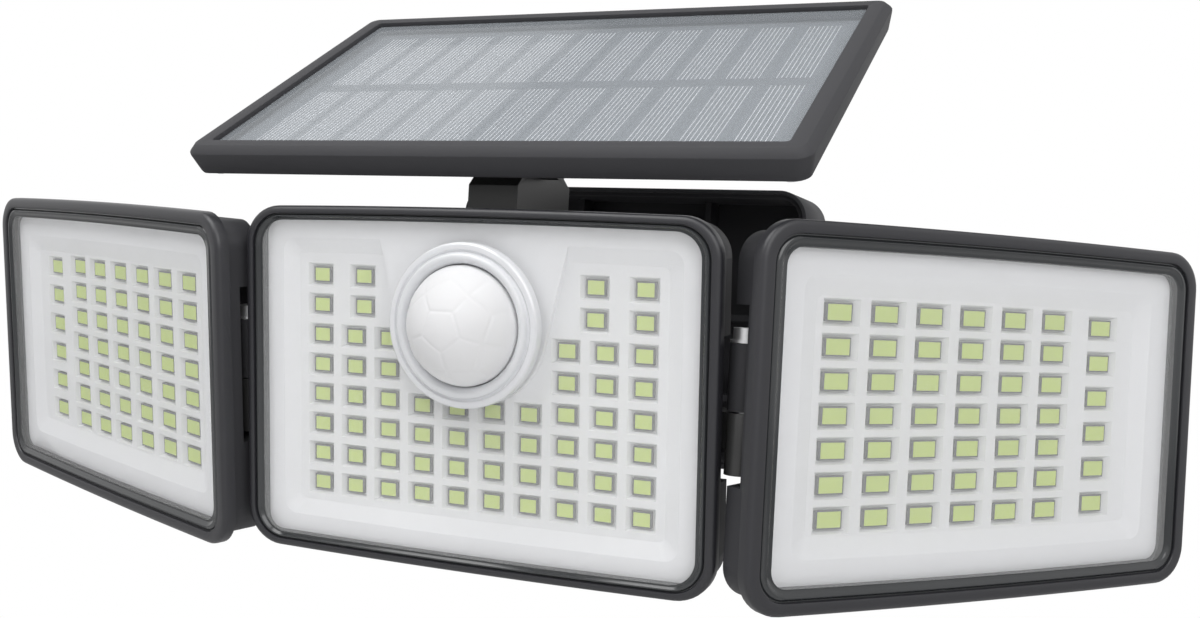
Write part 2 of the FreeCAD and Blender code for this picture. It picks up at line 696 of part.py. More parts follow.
def flange(lamp):
    """Inner ledge of a housing, round the reflector, with windows for the snap tabs."""
    gap = FIT_GAP
    ring = prism(band_outline(lamp, HOUSING_WALL / 2, RIM_DEPTH), FLANGE_THICKNESS)
    hole = prism(lamp_outline(lamp, lamp.white_side - gap, lamp.white_top - gap,
                              REFLECTOR_CORNER + gap, RIM_DEPTH - OVERRUN),
                 FLANGE_THICKNESS + 2 * OVERRUN)
    return ring.cut([hole] + clip_blocks(lamp, CLIP_GAP))


# ================================================================ side lamp's housing
def pin_x(lamp):
    """Hinge screw's place across a side lamp, in the lamp's own frame."""
    return lamp.inner * (lamp.width / 2 - PIN_FROM_EDGE)


def side_housing(lamp):
    """Side lamp's rear shell with its hinge pocket and hinge barrel."""
    band = prism(band_outline(lamp, 0, RIM_DEPTH), BAND_BACK - RIM_DEPTH)
    slope = loft(band_outline(lamp, 0, BAND_BACK),
                 lamp_outline(lamp, SIDE_BACK_INSET, SIDE_BACK_INSET, SIDE_BACK_CORNER,
                              SIDE_BACK))
    form = join([band, slope])
    room_inset = SIDE_BACK_INSET + SIDE_ROOM_STEP
    room = join([prism(band_outline(lamp, HOUSING_WALL, RIM_DEPTH - OVERRUN),
                       BAND_BACK - RIM_DEPTH + OVERRUN - HOUSING_WALL / 2),
                 loft(band_outline(lamp, HOUSING_WALL, BAND_BACK - HOUSING_WALL / 2),
                      lamp_outline(lamp, room_inset, room_inset,
                                   SIDE_BACK_CORNER - SIDE_ROOM_STEP,
                                   SIDE_BACK - HOUSING_WALL))])
    shell = form.cut(room)
    posts = [rod(POST_RADIUS, BOARD_BACK, SIDE_BACK - HOUSING_WALL + BITE, x, z, "y")
             for x, z in post_places(lamp)]
    edge = lamp.inner * lamp.width / 2
    floor = lamp.inner * (lamp.width / 2 - POCKET_REACH)
    lining_x = sorted((edge - lamp.inner * (lamp.step + HOUSING_WALL / 2),
                       floor - lamp.inner * POCKET_WALL))
    lining = box(lining_x[0], lining_x[1], POCKET_FRONT - POCKET_SKIN, SIDE_BACK,
                 POCKET_BOTTOM - POCKET_WALL, POCKET_TOP + POCKET_WALL)
    lining = lining.common(form)
    shell = join([shell, flange(lamp), lining] + posts)
    hollow_x = sorted((edge + lamp.inner * OVERRUN, floor))
    hollow = box(hollow_x[0], hollow_x[1], POCKET_FRONT, SIDE_BACK + OVERRUN,
                 POCKET_BOTTOM, POCKET_TOP)
    shell = shell.cut(hollow)
    x = pin_x(lamp)
    barrel = rod(KNUCKLE_RADIUS, KNUCKLE_BOTTOM, KNUCKLE_TOP, x, PIN_FROM_FACE, "z")
    web_x = sorted((x, floor - lamp.inner * POCKET_WALL / 2))
    web = box(web_x[0], web_x[1], PIN_FROM_FACE - KNUCKLE_WEB / 2, PIN_FROM_FACE + KNUCKLE_WEB / 2,
              KNUCKLE_BOTTOM, KNUCKLE_TOP).common(join([form, barrel]))
    shell = join([shell, barrel, web])
    bore = rod(PAN_SCREW_RADIUS + RUNNING_GAP, KNUCKLE_BOTTOM - OVERRUN, KNUCKLE_TOP + OVERRUN,
               x, PIN_FROM_FACE, "z")
    return shell.cut(bore)


# ================================================================ placing
def base_placement():
    """Centre lamp's reference frame in the light's frame: level, at the centre lamp's face."""
    return FreeCAD.Placement(vec(0, -FACE_TO_WALL, -CENTRE_DROP), FreeCAD.Rotation())


def centre_placement():
    """Centre lamp's own frame, leaning forwards."""
    return base_placement().multiply(
        FreeCAD.Placement(vec(0, 0, 0), FreeCAD.Rotation(X_AXIS, CENTRE_LEAN)))


def arm_placement(tilt):
    """Swivel arm's frame: level reference frame turned about the arms' cross axis."""
    pivot = vec(0, ARM_AXIS_BACK, ARM_AXIS_RISE)
    turn = FreeCAD.Placement(vec(0, 0, 0), FreeCAD.Rotation(X_AXIS, tilt), pivot)
    return base_placement().multiply(turn)


def side_placement(lamp):
    """Side lamp's own frame: turned about its hinge screw, which its swivel arm carries."""
    side = -lamp.inner
    tilt = RIGHT_ARM_TILT if side > 0 else LEFT_ARM_TILT
    pan = RIGHT_PAN if side > 0 else -LEFT_PAN
    turn = FreeCAD.Placement(vec(side * PIN_SIDE, PIN_BACK, PIN_RISE),
                             FreeCAD.Rotation(Z_AXIS, pan))
    shift = FreeCAD.Placement(vec(-pin_x(lamp), -PIN_FROM_FACE, 0), FreeCAD.Rotation())
    return arm_placement(tilt).multiply(turn).multiply(shift)


def panel_placement():
    """Panel's own frame: middle of the top face, +Y up the slope, +Z square to the glass."""
    return base_placement().multiply(
        FreeCAD.Placement(vec(0, PANEL_CENTRE_BACK, PANEL_CENTRE_RISE),
                          FreeCAD.Rotation(X_AXIS, PANEL_TILT)))


def placed(shape, placement):
    """Copy of a shape, moved by a placement."""
    moved = shape.copy()
    moved.Placement = placement.multiply(moved.Placement)
    return moved


def save(name, shape):
    """Write one piece."""
    shape.exportStep("parts/" + name + ".step")
    print(name, len(shape.Solids), round(shape.Volume, 1), shape.isValid())


# ================================================================ centre body
def body_outline(inset, y):
    """Outline of the box behind the centre lamp."""
    return rounded_box_outline(BODY_WIDTH - 2 * inset, BODY_HEIGHT - 2 * inset,
                               BODY_CORNER - inset / 2, y, BODY_RISE)


def arm_spigot_ends():
    """Inner and outer x of a swivel arm's spigot in the body's flank."""
    flank = BODY_WIDTH / 2
    return flank - BODY_WALL - BUSH_INSIDE - FIT_GAP, flank + ARM_BOSS_GAP


def to_lamp(point):
    """Point of the level reference frame, written in the leaning lamp's frame."""
    return FreeCAD.Rotation(X_AXIS, -CENTRE_LEAN).multVec(point)


def arm_axis_rod(radius, x0, x1):
    """Rod along the arms' cross axis, in the centre lamp's frame."""
    axis = to_lamp(vec(0, ARM_AXIS_BACK, ARM_AXIS_RISE))
    return rod(radius, x0, x1, axis.y, axis.z, "x")


def cover_screw_places():
    """Four screws of the rear cover."""
    x = BODY_WIDTH / 2 - COVER_SCREW_INSET
    z = BODY_HEIGHT / 2 - COVER_SCREW_INSET
    return [(sx * x, BODY_RISE + sz * z) for sx in (-1, 1) for sz in (-1, 1)]


def button_place():
    """Mode button's middle, on the underside of the body: x and back size."""
    return BUTTON_INSET - BODY_WIDTH / 2, (BODY_SHOULDER + BODY_SPLIT) / 2


def centre_envelope():
    """Outer form of the centre lamp's rear shell, solid: band, sloping shoulder and box."""
    band = prism(band_outline(CENTRE, 0, RIM_DEPTH), BAND_BACK - RIM_DEPTH)
    shoulder = loft(rounded_box_outline(CENTRE_WIDTH - 2 * (CENTRE_STEP + SHOULDER_STEP_SIDE),
                                        LAMP_HEIGHT - 2 * (CENTRE_STEP + SHOULDER_STEP_TOP),
                                        BODY_CORNER, BAND_BACK), body_outline(0, BODY_SHOULDER))
    rear = prism(body_outline(0, BODY_SHOULDER), BODY_SPLIT - BODY_SHOULDER)
    return join([band, shoulder, rear])


def centre_room():
    """Inside of the centre lamp's rear shell."""
    step_back = BAND_BACK - HOUSING_WALL
    side = CENTRE_STEP + SHOULDER_STEP_SIDE + HOUSING_WALL
    top = CENTRE_STEP + SHOULDER_STEP_TOP + HOUSING_WALL
    front = prism(band_outline(CENTRE, HOUSING_WALL, RIM_DEPTH - OVERRUN),
                  step_back - RIM_DEPTH + OVERRUN)
    middle = loft(rounded_box_outline(CENTRE_WIDTH - 2 * side, LAMP_HEIGHT - 2 * top,
                                      BODY_CORNER - HOUSING_WALL, step_back),
                  body_outline(BODY_WALL, BODY_SHOULDER))
    rear = prism(body_outline(BODY_WALL, BODY_SHOULDER), BODY_SPLIT - BODY_SHOULDER + OVERRUN)
    return join([front, middle, rear])


def hinge_notch(side, grow):
    """Notch in the centre lamp's flank for a swivel arm; grow makes its lining's outside."""
    edge = CENTRE_WIDTH / 2
    low = NOTCH_BOTTOM - grow
    high = NOTCH_TOP + grow
    skin = POCKET_SKIN if grow else 0
    outside = edge - CENTRE_STEP - HOUSING_WALL / 2 if grow else edge + OVERRUN
    back = BODY_SHOULDER if grow else BODY_SPLIT
    spans = ((edge - NOTCH_REACH - grow, NOTCH_FRONT - skin),
             (BODY_WIDTH / 2 - grow, NOTCH_INNER_FRONT - skin))
    parts = []
    for start, front in spans:
        x = sorted((side * start, side * outside))
        parts.append(box(x[0], x[1], front, back, low, high))
    return join(parts)


def centre_housing():
    """Centre lamp's rear shell: band, shoulder and open box, with hinge notches at its flanks."""
    solid = centre_envelope()
    shell = solid.cut(centre_room())
    inside = [rod(POST_RADIUS, BOARD_BACK, BODY_SHOULDER, x, z, "y")
              for x, z in post_places(CENTRE)]
    inside += [rod(COVER_POST_RADIUS, BODY_SHOULDER - COVER_POST_REACH, BODY_SPLIT, x, z, "y")
               for x, z in cover_screw_places()]
    for sign in (-1, 1):
        inside.append(hinge_notch(sign, POCKET_WALL))
        bush_x = sorted((sign * (BODY_WIDTH / 2 - BODY_WALL - BUSH_INSIDE), sign * BODY_WIDTH / 2))
        inside.append(arm_axis_rod(ARM_BOSS_RADIUS, bush_x[0], bush_x[1]))
    shell = join([shell, flange(CENTRE)] + [part.common(solid) for part in inside])
    shell = shell.cut([hinge_notch(-1, 0), hinge_notch(1, 0)])
    bores = [arm_axis_rod(ARM_SPIGOT_RADIUS + RUNNING_GAP, -CENTRE_WIDTH / 2, CENTRE_WIDTH / 2)]
    bores += [rod(SCREW_RADIUS, BODY_SPLIT - SCREW_LENGTH, BODY_SPLIT + OVERRUN, x, z, "y")
              for x, z in cover_screw_places()]
    x, y = button_place()
    low = BODY_RISE - BODY_HEIGHT / 2
    bores.append(rod(BUTTON_RADIUS + BUTTON_GUIDE_GAP, low - OVERRUN, low + BODY_WALL + OVERRUN,
                     x, y, "z"))
    bores += [rod(SCREW_RADIUS, body_top() - BODY_WALL - OVERRUN, body_top() + OVERRUN, x, y, "z")
              for x, y in foot_screw_places()]
    return shell.cut(bores)


def level_in_lamp(shape):
    """Shape drawn in the level reference frame, written in the centre lamp's frame."""
    return placed(shape, FreeCAD.Placement(vec(0, 0, 0), FreeCAD.Rotation(X_AXIS, -CENTRE_LEAN)))


def battery_middle():
    """Battery's back size and height: against the top and the rear cover."""
    y = BODY_BACK - BODY_WALL - BATTERY_RADIUS - BATTERY_GAP
    return y, body_top() - BODY_WALL - BATTERY_RADIUS - BATTERY_GAP


def rear_cover():
    """Back of the body, with the battery's cradle and the tongue of the tilt hinge."""
    plate = prism(body_outline(0, BODY_SPLIT + COVER_SEAL), BODY_BACK - BODY_SPLIT - COVER_SEAL)
    back_edges = [e for e in plate.Edges if abs(e.CenterOfMass.y - BODY_BACK) < 1e-6]
    plate = plate.makeFillet(COVER_EDGE_ROUND, back_edges)
    floor = BODY_BACK - BODY_WALL
    plate = plate.cut(prism(body_outline(BODY_WALL, BODY_SPLIT), floor - BODY_SPLIT))
    front = BODY_SPLIT + COVER_SEAL
    inside = [rod(COVER_POST_RADIUS, front, floor + BITE, x, z, "y")
              for x, z in cover_screw_places()]
    y, z = battery_middle()
    cradle_x = BODY_WIDTH / 2 - CRADLE_INSET
    for x in (-cradle_x, cradle_x):
        rib = box(x - CRADLE_THICKNESS / 2, x + CRADLE_THICKNESS / 2, front, floor + BITE,
                  z - BATTERY_RADIUS - CRADLE_THICKNESS, body_top() - BODY_WALL / 2)
        inside.append(rib.cut(rod(BATTERY_RADIUS + FIT_GAP, x - 2 * CRADLE_THICKNESS,
                                  x + 2 * CRADLE_THICKNESS, y, z, "x")))
    half = TONGUE_WIDTH / 2
    start = BODY_BACK - TONGUE_ROOT
    root = [vec(-half, start, TILT_AXIS_RISE - TONGUE_BELOW),
            vec(-half, start, TILT_AXIS_RISE + TONGUE_ABOVE),
            vec(-half, TILT_AXIS_BACK, TILT_AXIS_RISE + TONGUE_RADIUS),
            vec(-half, TILT_AXIS_BACK, TILT_AXIS_RISE - TONGUE_RADIUS)]
    web = Part.Face(Part.makePolygon(root + root[:1])).extrude(vec(TONGUE_WIDTH, 0, 0))
    eye = rod(TONGUE_RADIUS, -half, half, TILT_AXIS_BACK, TILT_AXIS_RISE, "x")
    tongue = level_in_lamp(join([web, eye]))
    tongue = tongue.cut(box(-TONGUE_WIDTH, TONGUE_WIDTH, 0, floor, -BODY_HEIGHT, BODY_HEIGHT))
    cover = join([plate, tongue] + inside)
    bolt = level_in_lamp(rod(TILT_BOLT_RADIUS + RUNNING_GAP, -half - OVERRUN, half + OVERRUN,
                             TILT_AXIS_BACK, TILT_AXIS_RISE, "x"))
    seat = cover_screw_seat()
    holes = [rod(SCREW_RADIUS + FIT_GAP, BODY_SPLIT, BODY_BACK + OVERRUN, x, z, "y")
             for x, z in cover_screw_places()]
    sinks = [rod(SCREW_HEAD_RADIUS + FIT_GAP, seat, BODY_BACK + OVERRUN, x, z, "y")
             for x, z in cover_screw_places()]
    return cover.cut([bolt] + holes + sinks)


def cover_screw_seat():
    """Back size of the rear cover's screw seats."""
    return BODY_BACK - SCREW_HEAD - COVER_SCREW_SINK


def cover_seal():
    """Seal between the body's shell and its rear cover."""
    outer = prism(body_outline(COVER_SEAL_INSET, BODY_SPLIT), COVER_SEAL)
    inner = prism(body_outline(BODY_WALL, BODY_SPLIT - OVERRUN), COVER_SEAL + 2 * OVERRUN)
    return outer.cut(inner)


def cover_screws():
    """Four screws of the rear cover."""
    seat = cover_screw_seat()
    screws = []
    for x, z in cover_screw_places():
        head = rod(SCREW_HEAD_RADIUS, seat, seat + SCREW_HEAD, x, z, "y")
        shank = rod(SCREW_RADIUS - THREAD_GAP, BODY_SPLIT - SCREW_LENGTH + SCREW_TIP_GAP,
                    seat + BITE, x, z, "y")
        top = seat + SCREW_HEAD
        slot = box(x - SCREW_HEAD_RADIUS, x + SCREW_HEAD_RADIUS, top - SCREW_SLOT_DEPTH,
                   top + OVERRUN, z - SCREW_SLOT_WIDTH / 2, z + SCREW_SLOT_WIDTH / 2)
        screws.append(join([head, shank]).cut(slot))
    return group(screws)


def battery_cell():
    """Rechargeable cell, lying across the body."""
    half = BATTERY_LENGTH / 2
    y, z = battery_middle()
    can = rod(BATTERY_RADIUS, -half, half, y, z, "x")
    return join([can, rod(BATTERY_CAP_RADIUS, half, half + BATTERY_CAP, y, z, "x")])


def control_board():
    """Charge and control board behind the LED board, on the upper posts' level."""
    half = CONTROL_BOARD_WIDTH / 2
    high = CONTROL_BOARD_HEIGHT / 2
    y = BOARD_BACK + STANDOFF_LENGTH
    z = BODY_RISE - CONTROL_BOARD_DROP
    board = box(-half, half, y, y + BOARD_THICKNESS, z - high, z + high)
    pins = [rod(STANDOFF_RADIUS, BOARD_BACK, y + BITE, sx * (half - STANDOFF_INSET),
                z + sz * (high - STANDOFF_INSET), "y") for sx in (-1, 1) for sz in (-1, 1)]
    return join([board] + pins)


# ================================================================ motion sensor
def sensor_ring():
    """Ring that holds the dome: flange in front of the lens and a sleeve through its hole."""
    front = -RING_FRONT
    z = SENSOR_RISE
    profile = [(RING_THROAT, front + RING_THROAT_DEPTH), (RING_THROAT + RING_THROAT_BEVEL, front),
               (RING_RADIUS - RING_EDGE_BEVEL, front), (RING_RADIUS, front + RING_EDGE_BEVEL),
               (RING_RADIUS, LENS_SINK),
               (RING_LENS_HOLE - FIT_GAP, LENS_SINK), (RING_LENS_HOLE - FIT_GAP, LENS_BACK),
               (RING_THROAT + RING_FLANGE - FIT_GAP, LENS_BACK),
               (RING_THROAT + RING_FLANGE - FIT_GAP, BOARD_BACK), (RING_THROAT, BOARD_BACK)]
    points = [vec(r, y, z) for r, y in profile]
    face = Part.Face(Part.makePolygon(points + points[:1]))
    return face.revolve(vec(0, 0, z), Y_AXIS, 360)


def dome_cap(radius, height, foot_y, back_y):
    """Solid cap: sphere segment of that height on a short cylinder, on the sensor's axis."""
    ball_radius = (radius ** 2 + height ** 2) / (2 * height)
    top = vec(0, foot_y - height, SENSOR_RISE)
    half_angle = math.asin(radius / ball_radius) / 2
    mid = vec(ball_radius * math.sin(half_angle),
              foot_y - height + ball_radius * (1 - math.cos(half_angle)), SENSOR_RISE)
    rim = vec(radius, foot_y, SENSOR_RISE)
    back = vec(radius, back_y, SENSOR_RISE)
    centre = vec(0, back_y, SENSOR_RISE)
    wire = Part.Wire([arc(top, mid, rim), line(rim, back), line(back, centre), line(centre, top)])
    return Part.Face(wire).revolve(vec(0, 0, SENSOR_RISE), Y_AXIS, 360)


def sensor_dome():
    """Milky Fresnel dome with a foot flange behind the ring's throat."""
    foot = -RING_FRONT + RING_THROAT_DEPTH
    back = BOARD_BACK
    shell = dome_cap(RING_THROAT - FIT_GAP, DOME_HEIGHT, foot, back)
    room = dome_cap(RING_THROAT - FIT_GAP - DOME_WALL, DOME_HEIGHT - DOME_WALL, foot,
                    back + OVERRUN)
    dome = shell.cut(room)
    collar = rod(RING_THROAT + RING_FLANGE + DOME_FOOT, back, back + COLLAR_THICKNESS,
                 0, SENSOR_RISE, "y")
    bore = rod(RING_THROAT - FIT_GAP - DOME_WALL, back - OVERRUN,
               back + COLLAR_THICKNESS + OVERRUN, 0, SENSOR_RISE, "y")
    return join([dome, collar]).cut(bore)


def sensor_board():
    """Small board behind the dome that carries the sensor can."""
    y = BOARD_BACK + COLLAR_THICKNESS
    return rod(RING_THROAT + RING_FLANGE + DOME_FOOT, y, y + SENSOR_BOARD_THICKNESS,
               0, SENSOR_RISE, "y")


def pir_sensor():
    """Metal sensor can with its flange and window step."""
    y = BOARD_BACK + COLLAR_THICKNESS
    flange_disc = rod(PIR_CAN_RADIUS + PIR_CAN_LAP, y - PIR_CAN_FLANGE, y, 0, SENSOR_RISE, "y")
    can = rod(PIR_CAN_RADIUS, y - PIR_CAN_LENGTH, y, 0, SENSOR_RISE, "y")
    return join([flange_disc, can])


# ================================================================ swivel arms
def swivel_arm(side):
    """Arm from the body's flank to the hinge screw, drawn in the level frame at zero tilt."""
    inner, outer = arm_spigot_ends()
    low = PIN_RISE + LUG_BOTTOM
    high = PIN_RISE + KNUCKLE_BOTTOM - HINGE_GAP
    spigot_x = sorted((side * inner, side * (outer + BITE)))
    spigot = rod(ARM_SPIGOT_RADIUS, spigot_x[0], spigot_x[1], ARM_AXIS_BACK, ARM_AXIS_RISE, "x")
    boss_x = sorted((side * outer, side * (outer + ARM_BOSS_LENGTH)))
    boss = rod(ARM_BOSS_RADIUS, boss_x[0], boss_x[1], ARM_AXIS_BACK, ARM_AXIS_RISE, "x")
    lug = rod(KNUCKLE_RADIUS, low, high, side * PIN_SIDE, PIN_BACK, "z")
    start_x = outer + ARM_BOSS_LENGTH / 2
    run = math.hypot(PIN_SIDE - start_x, ARM_AXIS_BACK - PIN_BACK)
    off_x = ARM_WEB_HALF * (ARM_AXIS_BACK - PIN_BACK) / run
    off_y = ARM_WEB_HALF * (PIN_SIDE - start_x) / run
    web_low = PIN_RISE + ARM_WEB_BOTTOM
    outline = [vec(side * (PIN_SIDE + off_x), PIN_BACK + off_y, web_low),
               vec(side * (PIN_SIDE - off_x), PIN_BACK - off_y, web_low),
               vec(side * (start_x - off_x), ARM_AXIS_BACK - off_y, web_low),
               vec(side * (start_x + off_x), ARM_AXIS_BACK + off_y, web_low)]
    web = Part.Face(Part.makePolygon(outline + outline[:1])).extrude(vec(0, 0, high - web_low))
    flank = sorted((side * outer, side * (outer + 2 * CENTRE_WIDTH)))
    web = web.common(box(flank[0], flank[1], -CENTRE_WIDTH, CENTRE_WIDTH, low, high))
    arm = join([spigot, boss, lug, web])
    thread = rod(PAN_SCREW_RADIUS, low + PAN_SCREW_FLOOR, high + OVERRUN, side * PIN_SIDE,
                 PIN_BACK, "z")
    screw_x = sorted((side * (inner - OVERRUN), side * (outer + ARM_SCREW_REACH)))
    screw = rod(SCREW_RADIUS, screw_x[0], screw_x[1], ARM_AXIS_BACK, ARM_AXIS_RISE, "x")
    return arm.cut([thread, screw])


def pan_screw(side):
    """Upright steel hinge screw with its washer, threaded into the swivel arm's lug."""
    x = side * PIN_SIDE
    low = PIN_RISE + LUG_BOTTOM + PAN_SCREW_FLOOR
    seat = PIN_RISE + KNUCKLE_TOP + FIT_GAP
    shank = rod(PAN_SCREW_RADIUS, low, seat + PAN_WASHER, x, PIN_BACK, "z")
    washer = rod(PAN_WASHER_RADIUS, seat, seat + PAN_WASHER, x, PIN_BACK, "z")
    head = rod(PAN_SCREW_HEAD_RADIUS, seat + PAN_WASHER, seat + PAN_WASHER + PAN_SCREW_HEAD,
               x, PIN_BACK, "z")
    screw = join([shank, washer, head])
    top = seat + PAN_WASHER + PAN_SCREW_HEAD
    socket = hexagon(PAN_SOCKET, top - PAN_SOCKET_DEPTH, top + OVERRUN, x, PIN_BACK, "z")
    return screw.cut(socket)


def arm_screw(side):
    """Screw and washer that hold a swivel arm's spigot from inside the body."""
    inner, outer = arm_spigot_ends()
    pieces = []
    for radius, start, end in (
            (SCREW_RADIUS, inner, outer + ARM_SCREW_REACH),
            (ARM_SPIGOT_RADIUS + ARM_WASHER_LAP, inner - ARM_WASHER, inner),
            (SCREW_HEAD_RADIUS, inner - ARM_WASHER - SCREW_HEAD, inner - ARM_WASHER)):
        x = sorted((side * start, side * end))
        pieces.append(rod(radius, x[0], x[1], ARM_AXIS_BACK, ARM_AXIS_RISE, "x"))
    return join(pieces)


# ================================================================ wall bracket
def wall_bracket():
    """Open-fronted tray on the wall with a pedestal and the two ears of the tilt hinge."""
    front = -BRACKET_DEPTH
    outer = prism(rounded_box_outline(BRACKET_WIDTH, BRACKET_HEIGHT, BRACKET_CORNER, front),
                  BRACKET_DEPTH)
    wall = BRACKET_WALL
    room = prism(rounded_box_outline(BRACKET_WIDTH - 2 * wall, BRACKET_HEIGHT - 2 * wall,
                                     BRACKET_CORNER - wall, front - OVERRUN),
                 BRACKET_DEPTH - BRACKET_BACK + OVERRUN)
    lip = prism(rounded_box_outline(BRACKET_WIDTH - wall, BRACKET_HEIGHT - wall,
                                    BRACKET_CORNER - wall / 2, front - OVERRUN),
                BRACKET_LIP + OVERRUN)
    tray = outer.cut([room, lip])
    face = front + PEDESTAL_FRONT
    half = PEDESTAL_WIDTH / 2
    axis_y = TILT_AXIS_BACK - FACE_TO_WALL
    axis_z = TILT_AXIS_RISE - CENTRE_DROP
    low = axis_z - PEDESTAL_HEIGHT / 2
    high = axis_z + PEDESTAL_HEIGHT / 2
    floor = -BRACKET_BACK + BITE
    pedestal = box(-half, half, face, floor, low, high)
    ribs = []
    for sign in (-1, 1):
        x = sign * half
        span = sorted((x, sign * (BRACKET_WIDTH / 2 - wall / 2)))
        for z in (low + RIB_INSET, high - RIB_INSET - RIB_THICKNESS):
            ribs.append(box(span[0], span[1], -BRACKET_BACK - RIB_HEIGHT, floor,
                            z, z + RIB_THICKNESS))
        rib_x = sorted((x, x - sign * RIB_THICKNESS))
        ribs.append(box(rib_x[0], rib_x[1], -BRACKET_BACK - RIB_HEIGHT, floor,
                        -BRACKET_HEIGHT / 2 + wall / 2, BRACKET_HEIGHT / 2 - wall / 2))
    ears = []
    gap = TONGUE_WIDTH / 2 + EAR_GAP
    for sign in (-1, 1):
        ear_x = sorted((sign * gap, sign * (gap + EAR_THICKNESS)))
        root = [vec(ear_x[0], face + OVERRUN, low + EAR_ROOT_INSET),
                vec(ear_x[0], face + OVERRUN, high - EAR_ROOT_INSET),
                vec(ear_x[0], axis_y, axis_z + TONGUE_RADIUS),
                vec(ear_x[0], axis_y, axis_z - TONGUE_RADIUS)]
        web = Part.Face(Part.makePolygon(root + root[:1])).extrude(vec(EAR_THICKNESS, 0, 0))
        eye = rod(TONGUE_RADIUS, ear_x[0], ear_x[1], axis_y, axis_z, "x")
        ears += [web, eye]
    bracket = join([tray, pedestal] + ribs + ears)
    core = box(-half + PEDESTAL_WALL, half - PEDESTAL_WALL, face + PEDESTAL_FACE, OVERRUN,
               low + PEDESTAL_WALL, high - PEDESTAL_WALL)
    holes = [core, rod(TILT_BOLT_RADIUS + FIT_GAP, -half, half, axis_y, axis_z, "x")]
    for sx in (-1, 1):
        for sz in (-1, 1):
            holes.append(rod(WALL_SCREW_RADIUS, -BRACKET_BACK - RIB_HEIGHT, OVERRUN,
                             sx * WALL_SCREW_X / 2, sz * WALL_SCREW_Z / 2, "y"))
    return bracket.cut(holes)


def tilt_bolt():
    """Bolt through the bracket's ears and the body's tongue."""
    axis_y = TILT_AXIS_BACK - FACE_TO_WALL
    axis_z = TILT_AXIS_RISE - CENTRE_DROP
    face = TONGUE_WIDTH / 2 + EAR_GAP + EAR_THICKNESS
    end = face + TILT_NUT_THICKNESS + TILT_BOLT_END
    shank = rod(TILT_BOLT_RADIUS, -face - BITE, end, axis_y, axis_z, "x")
    head = hexagon(2 * TILT_BOLT_HEAD_RADIUS, -face - TILT_BOLT_HEAD, -face, axis_y, axis_z, "x")
    return join([shank, head])


def tilt_nut():
    """Nut on the tilt bolt."""
    axis_y = TILT_AXIS_BACK - FACE_TO_WALL
    axis_z = TILT_AXIS_RISE - CENTRE_DROP
    face = TONGUE_WIDTH / 2 + EAR_GAP + EAR_THICKNESS
    nut = hexagon(2 * TILT_NUT_RADIUS, face, face + TILT_NUT_THICKNESS, axis_y, axis_z, "x")
    return nut.cut(rod(TILT_BOLT_RADIUS + THREAD_GAP, face - OVERRUN,
                       face + TILT_NUT_THICKNESS + OVERRUN, axis_y, axis_z, "x"))


# ================================================================ panel post
def body_top():
    """Height of the body's top in the centre lamp's frame."""
    return BODY_RISE + BODY_HEIGHT / 2


def panel_post():
    """Post from the body's top to the panel's hinge, with its foot plate."""
    half = POST_WIDTH / 2
    knuckle = rod(PANEL_KNUCKLE_RADIUS, -half, half, PANEL_AXIS_BACK, PANEL_AXIS_RISE, "x")
    root = body_top() - POST_ROOT
    profile = [vec(-half, POST_FRONT, root),
               vec(-half, POST_FRONT, POST_SHOULDER - POST_FRONT_DROP),
               vec(-half, PANEL_AXIS_BACK - PANEL_KNUCKLE_RADIUS, PANEL_AXIS_RISE),
               vec(-half, PANEL_AXIS_BACK + PANEL_KNUCKLE_RADIUS, PANEL_AXIS_RISE),
               vec(-half, POST_BACK, POST_SHOULDER), vec(-half, POST_BACK, root)]
    column = Part.Face(Part.makePolygon(profile + profile[:1])).extrude(vec(POST_WIDTH, 0, 0))
    column = level_in_lamp(join([column, knuckle]))
    top = body_top()
    foot = box(-POST_FOOT_WIDTH / 2, POST_FOOT_WIDTH / 2, BODY_SHOULDER - POST_FOOT_LAP,
               BODY_SPLIT - POST_FOOT_INSET, top, top + POST_FOOT_PLATE)
    under = box(-BODY_WIDTH, BODY_WIDTH, -BODY_WIDTH, BODY_WIDTH, top - BODY_WIDTH, top)
    post = join([column, foot]).cut([centre_envelope(), under])
    bolt = level_in_lamp(rod(PANEL_BOLT_RADIUS + RUNNING_GAP, -half - OVERRUN, half + OVERRUN,
                             PANEL_AXIS_BACK, PANEL_AXIS_RISE, "x"))
    return post.cut([bolt] + [rod(SCREW_RADIUS + FIT_GAP, top - OVERRUN, top + POST_SCREW_ROOM,
                                  x, y, "z") for x, y in foot_screw_places()])


def foot_screw_places():
    """Two screws of the post's foot, either side of the column: x and back size."""
    y = (BODY_SHOULDER + BODY_SPLIT) / 2
    x = (POST_WIDTH + POST_FOOT_WIDTH) / 4
    return [(-x, y), (x, y)]


def post_screws():
    """Screws of the post's foot into the body."""
    top = body_top() + POST_FOOT_PLATE
    screws = []
    for x, y in foot_screw_places():
        head = rod(SCREW_HEAD_RADIUS, top, top + SCREW_HEAD, x, y, "z")
        shank = rod(SCREW_RADIUS, top - POST_FOOT_PLATE - BODY_WALL, top + BITE, x, y, "z")
        screws.append(join([head, shank]))
    return group(screws)


def panel_bolt():
    """Hinge bolt of the panel, fixed in the post's knuckle by its nut at one end."""
    face = POST_WIDTH / 2 + EAR_GAP + PANEL_EAR_THICKNESS
    seat = face + FIT_GAP
    end = seat + PANEL_BOLT_HEAD
    shank = rod(PANEL_BOLT_RADIUS, -seat - BITE, seat, PANEL_AXIS_BACK, PANEL_AXIS_RISE, "x")
    heads = [rod(PANEL_BOLT_HEAD_RADIUS, -end, -seat, PANEL_AXIS_BACK, PANEL_AXIS_RISE, "x"),
             hexagon(2 * PANEL_BOLT_HEAD_RADIUS, seat, end, PANEL_AXIS_BACK, PANEL_AXIS_RISE,
                     "x")]
    return join([shank] + heads)


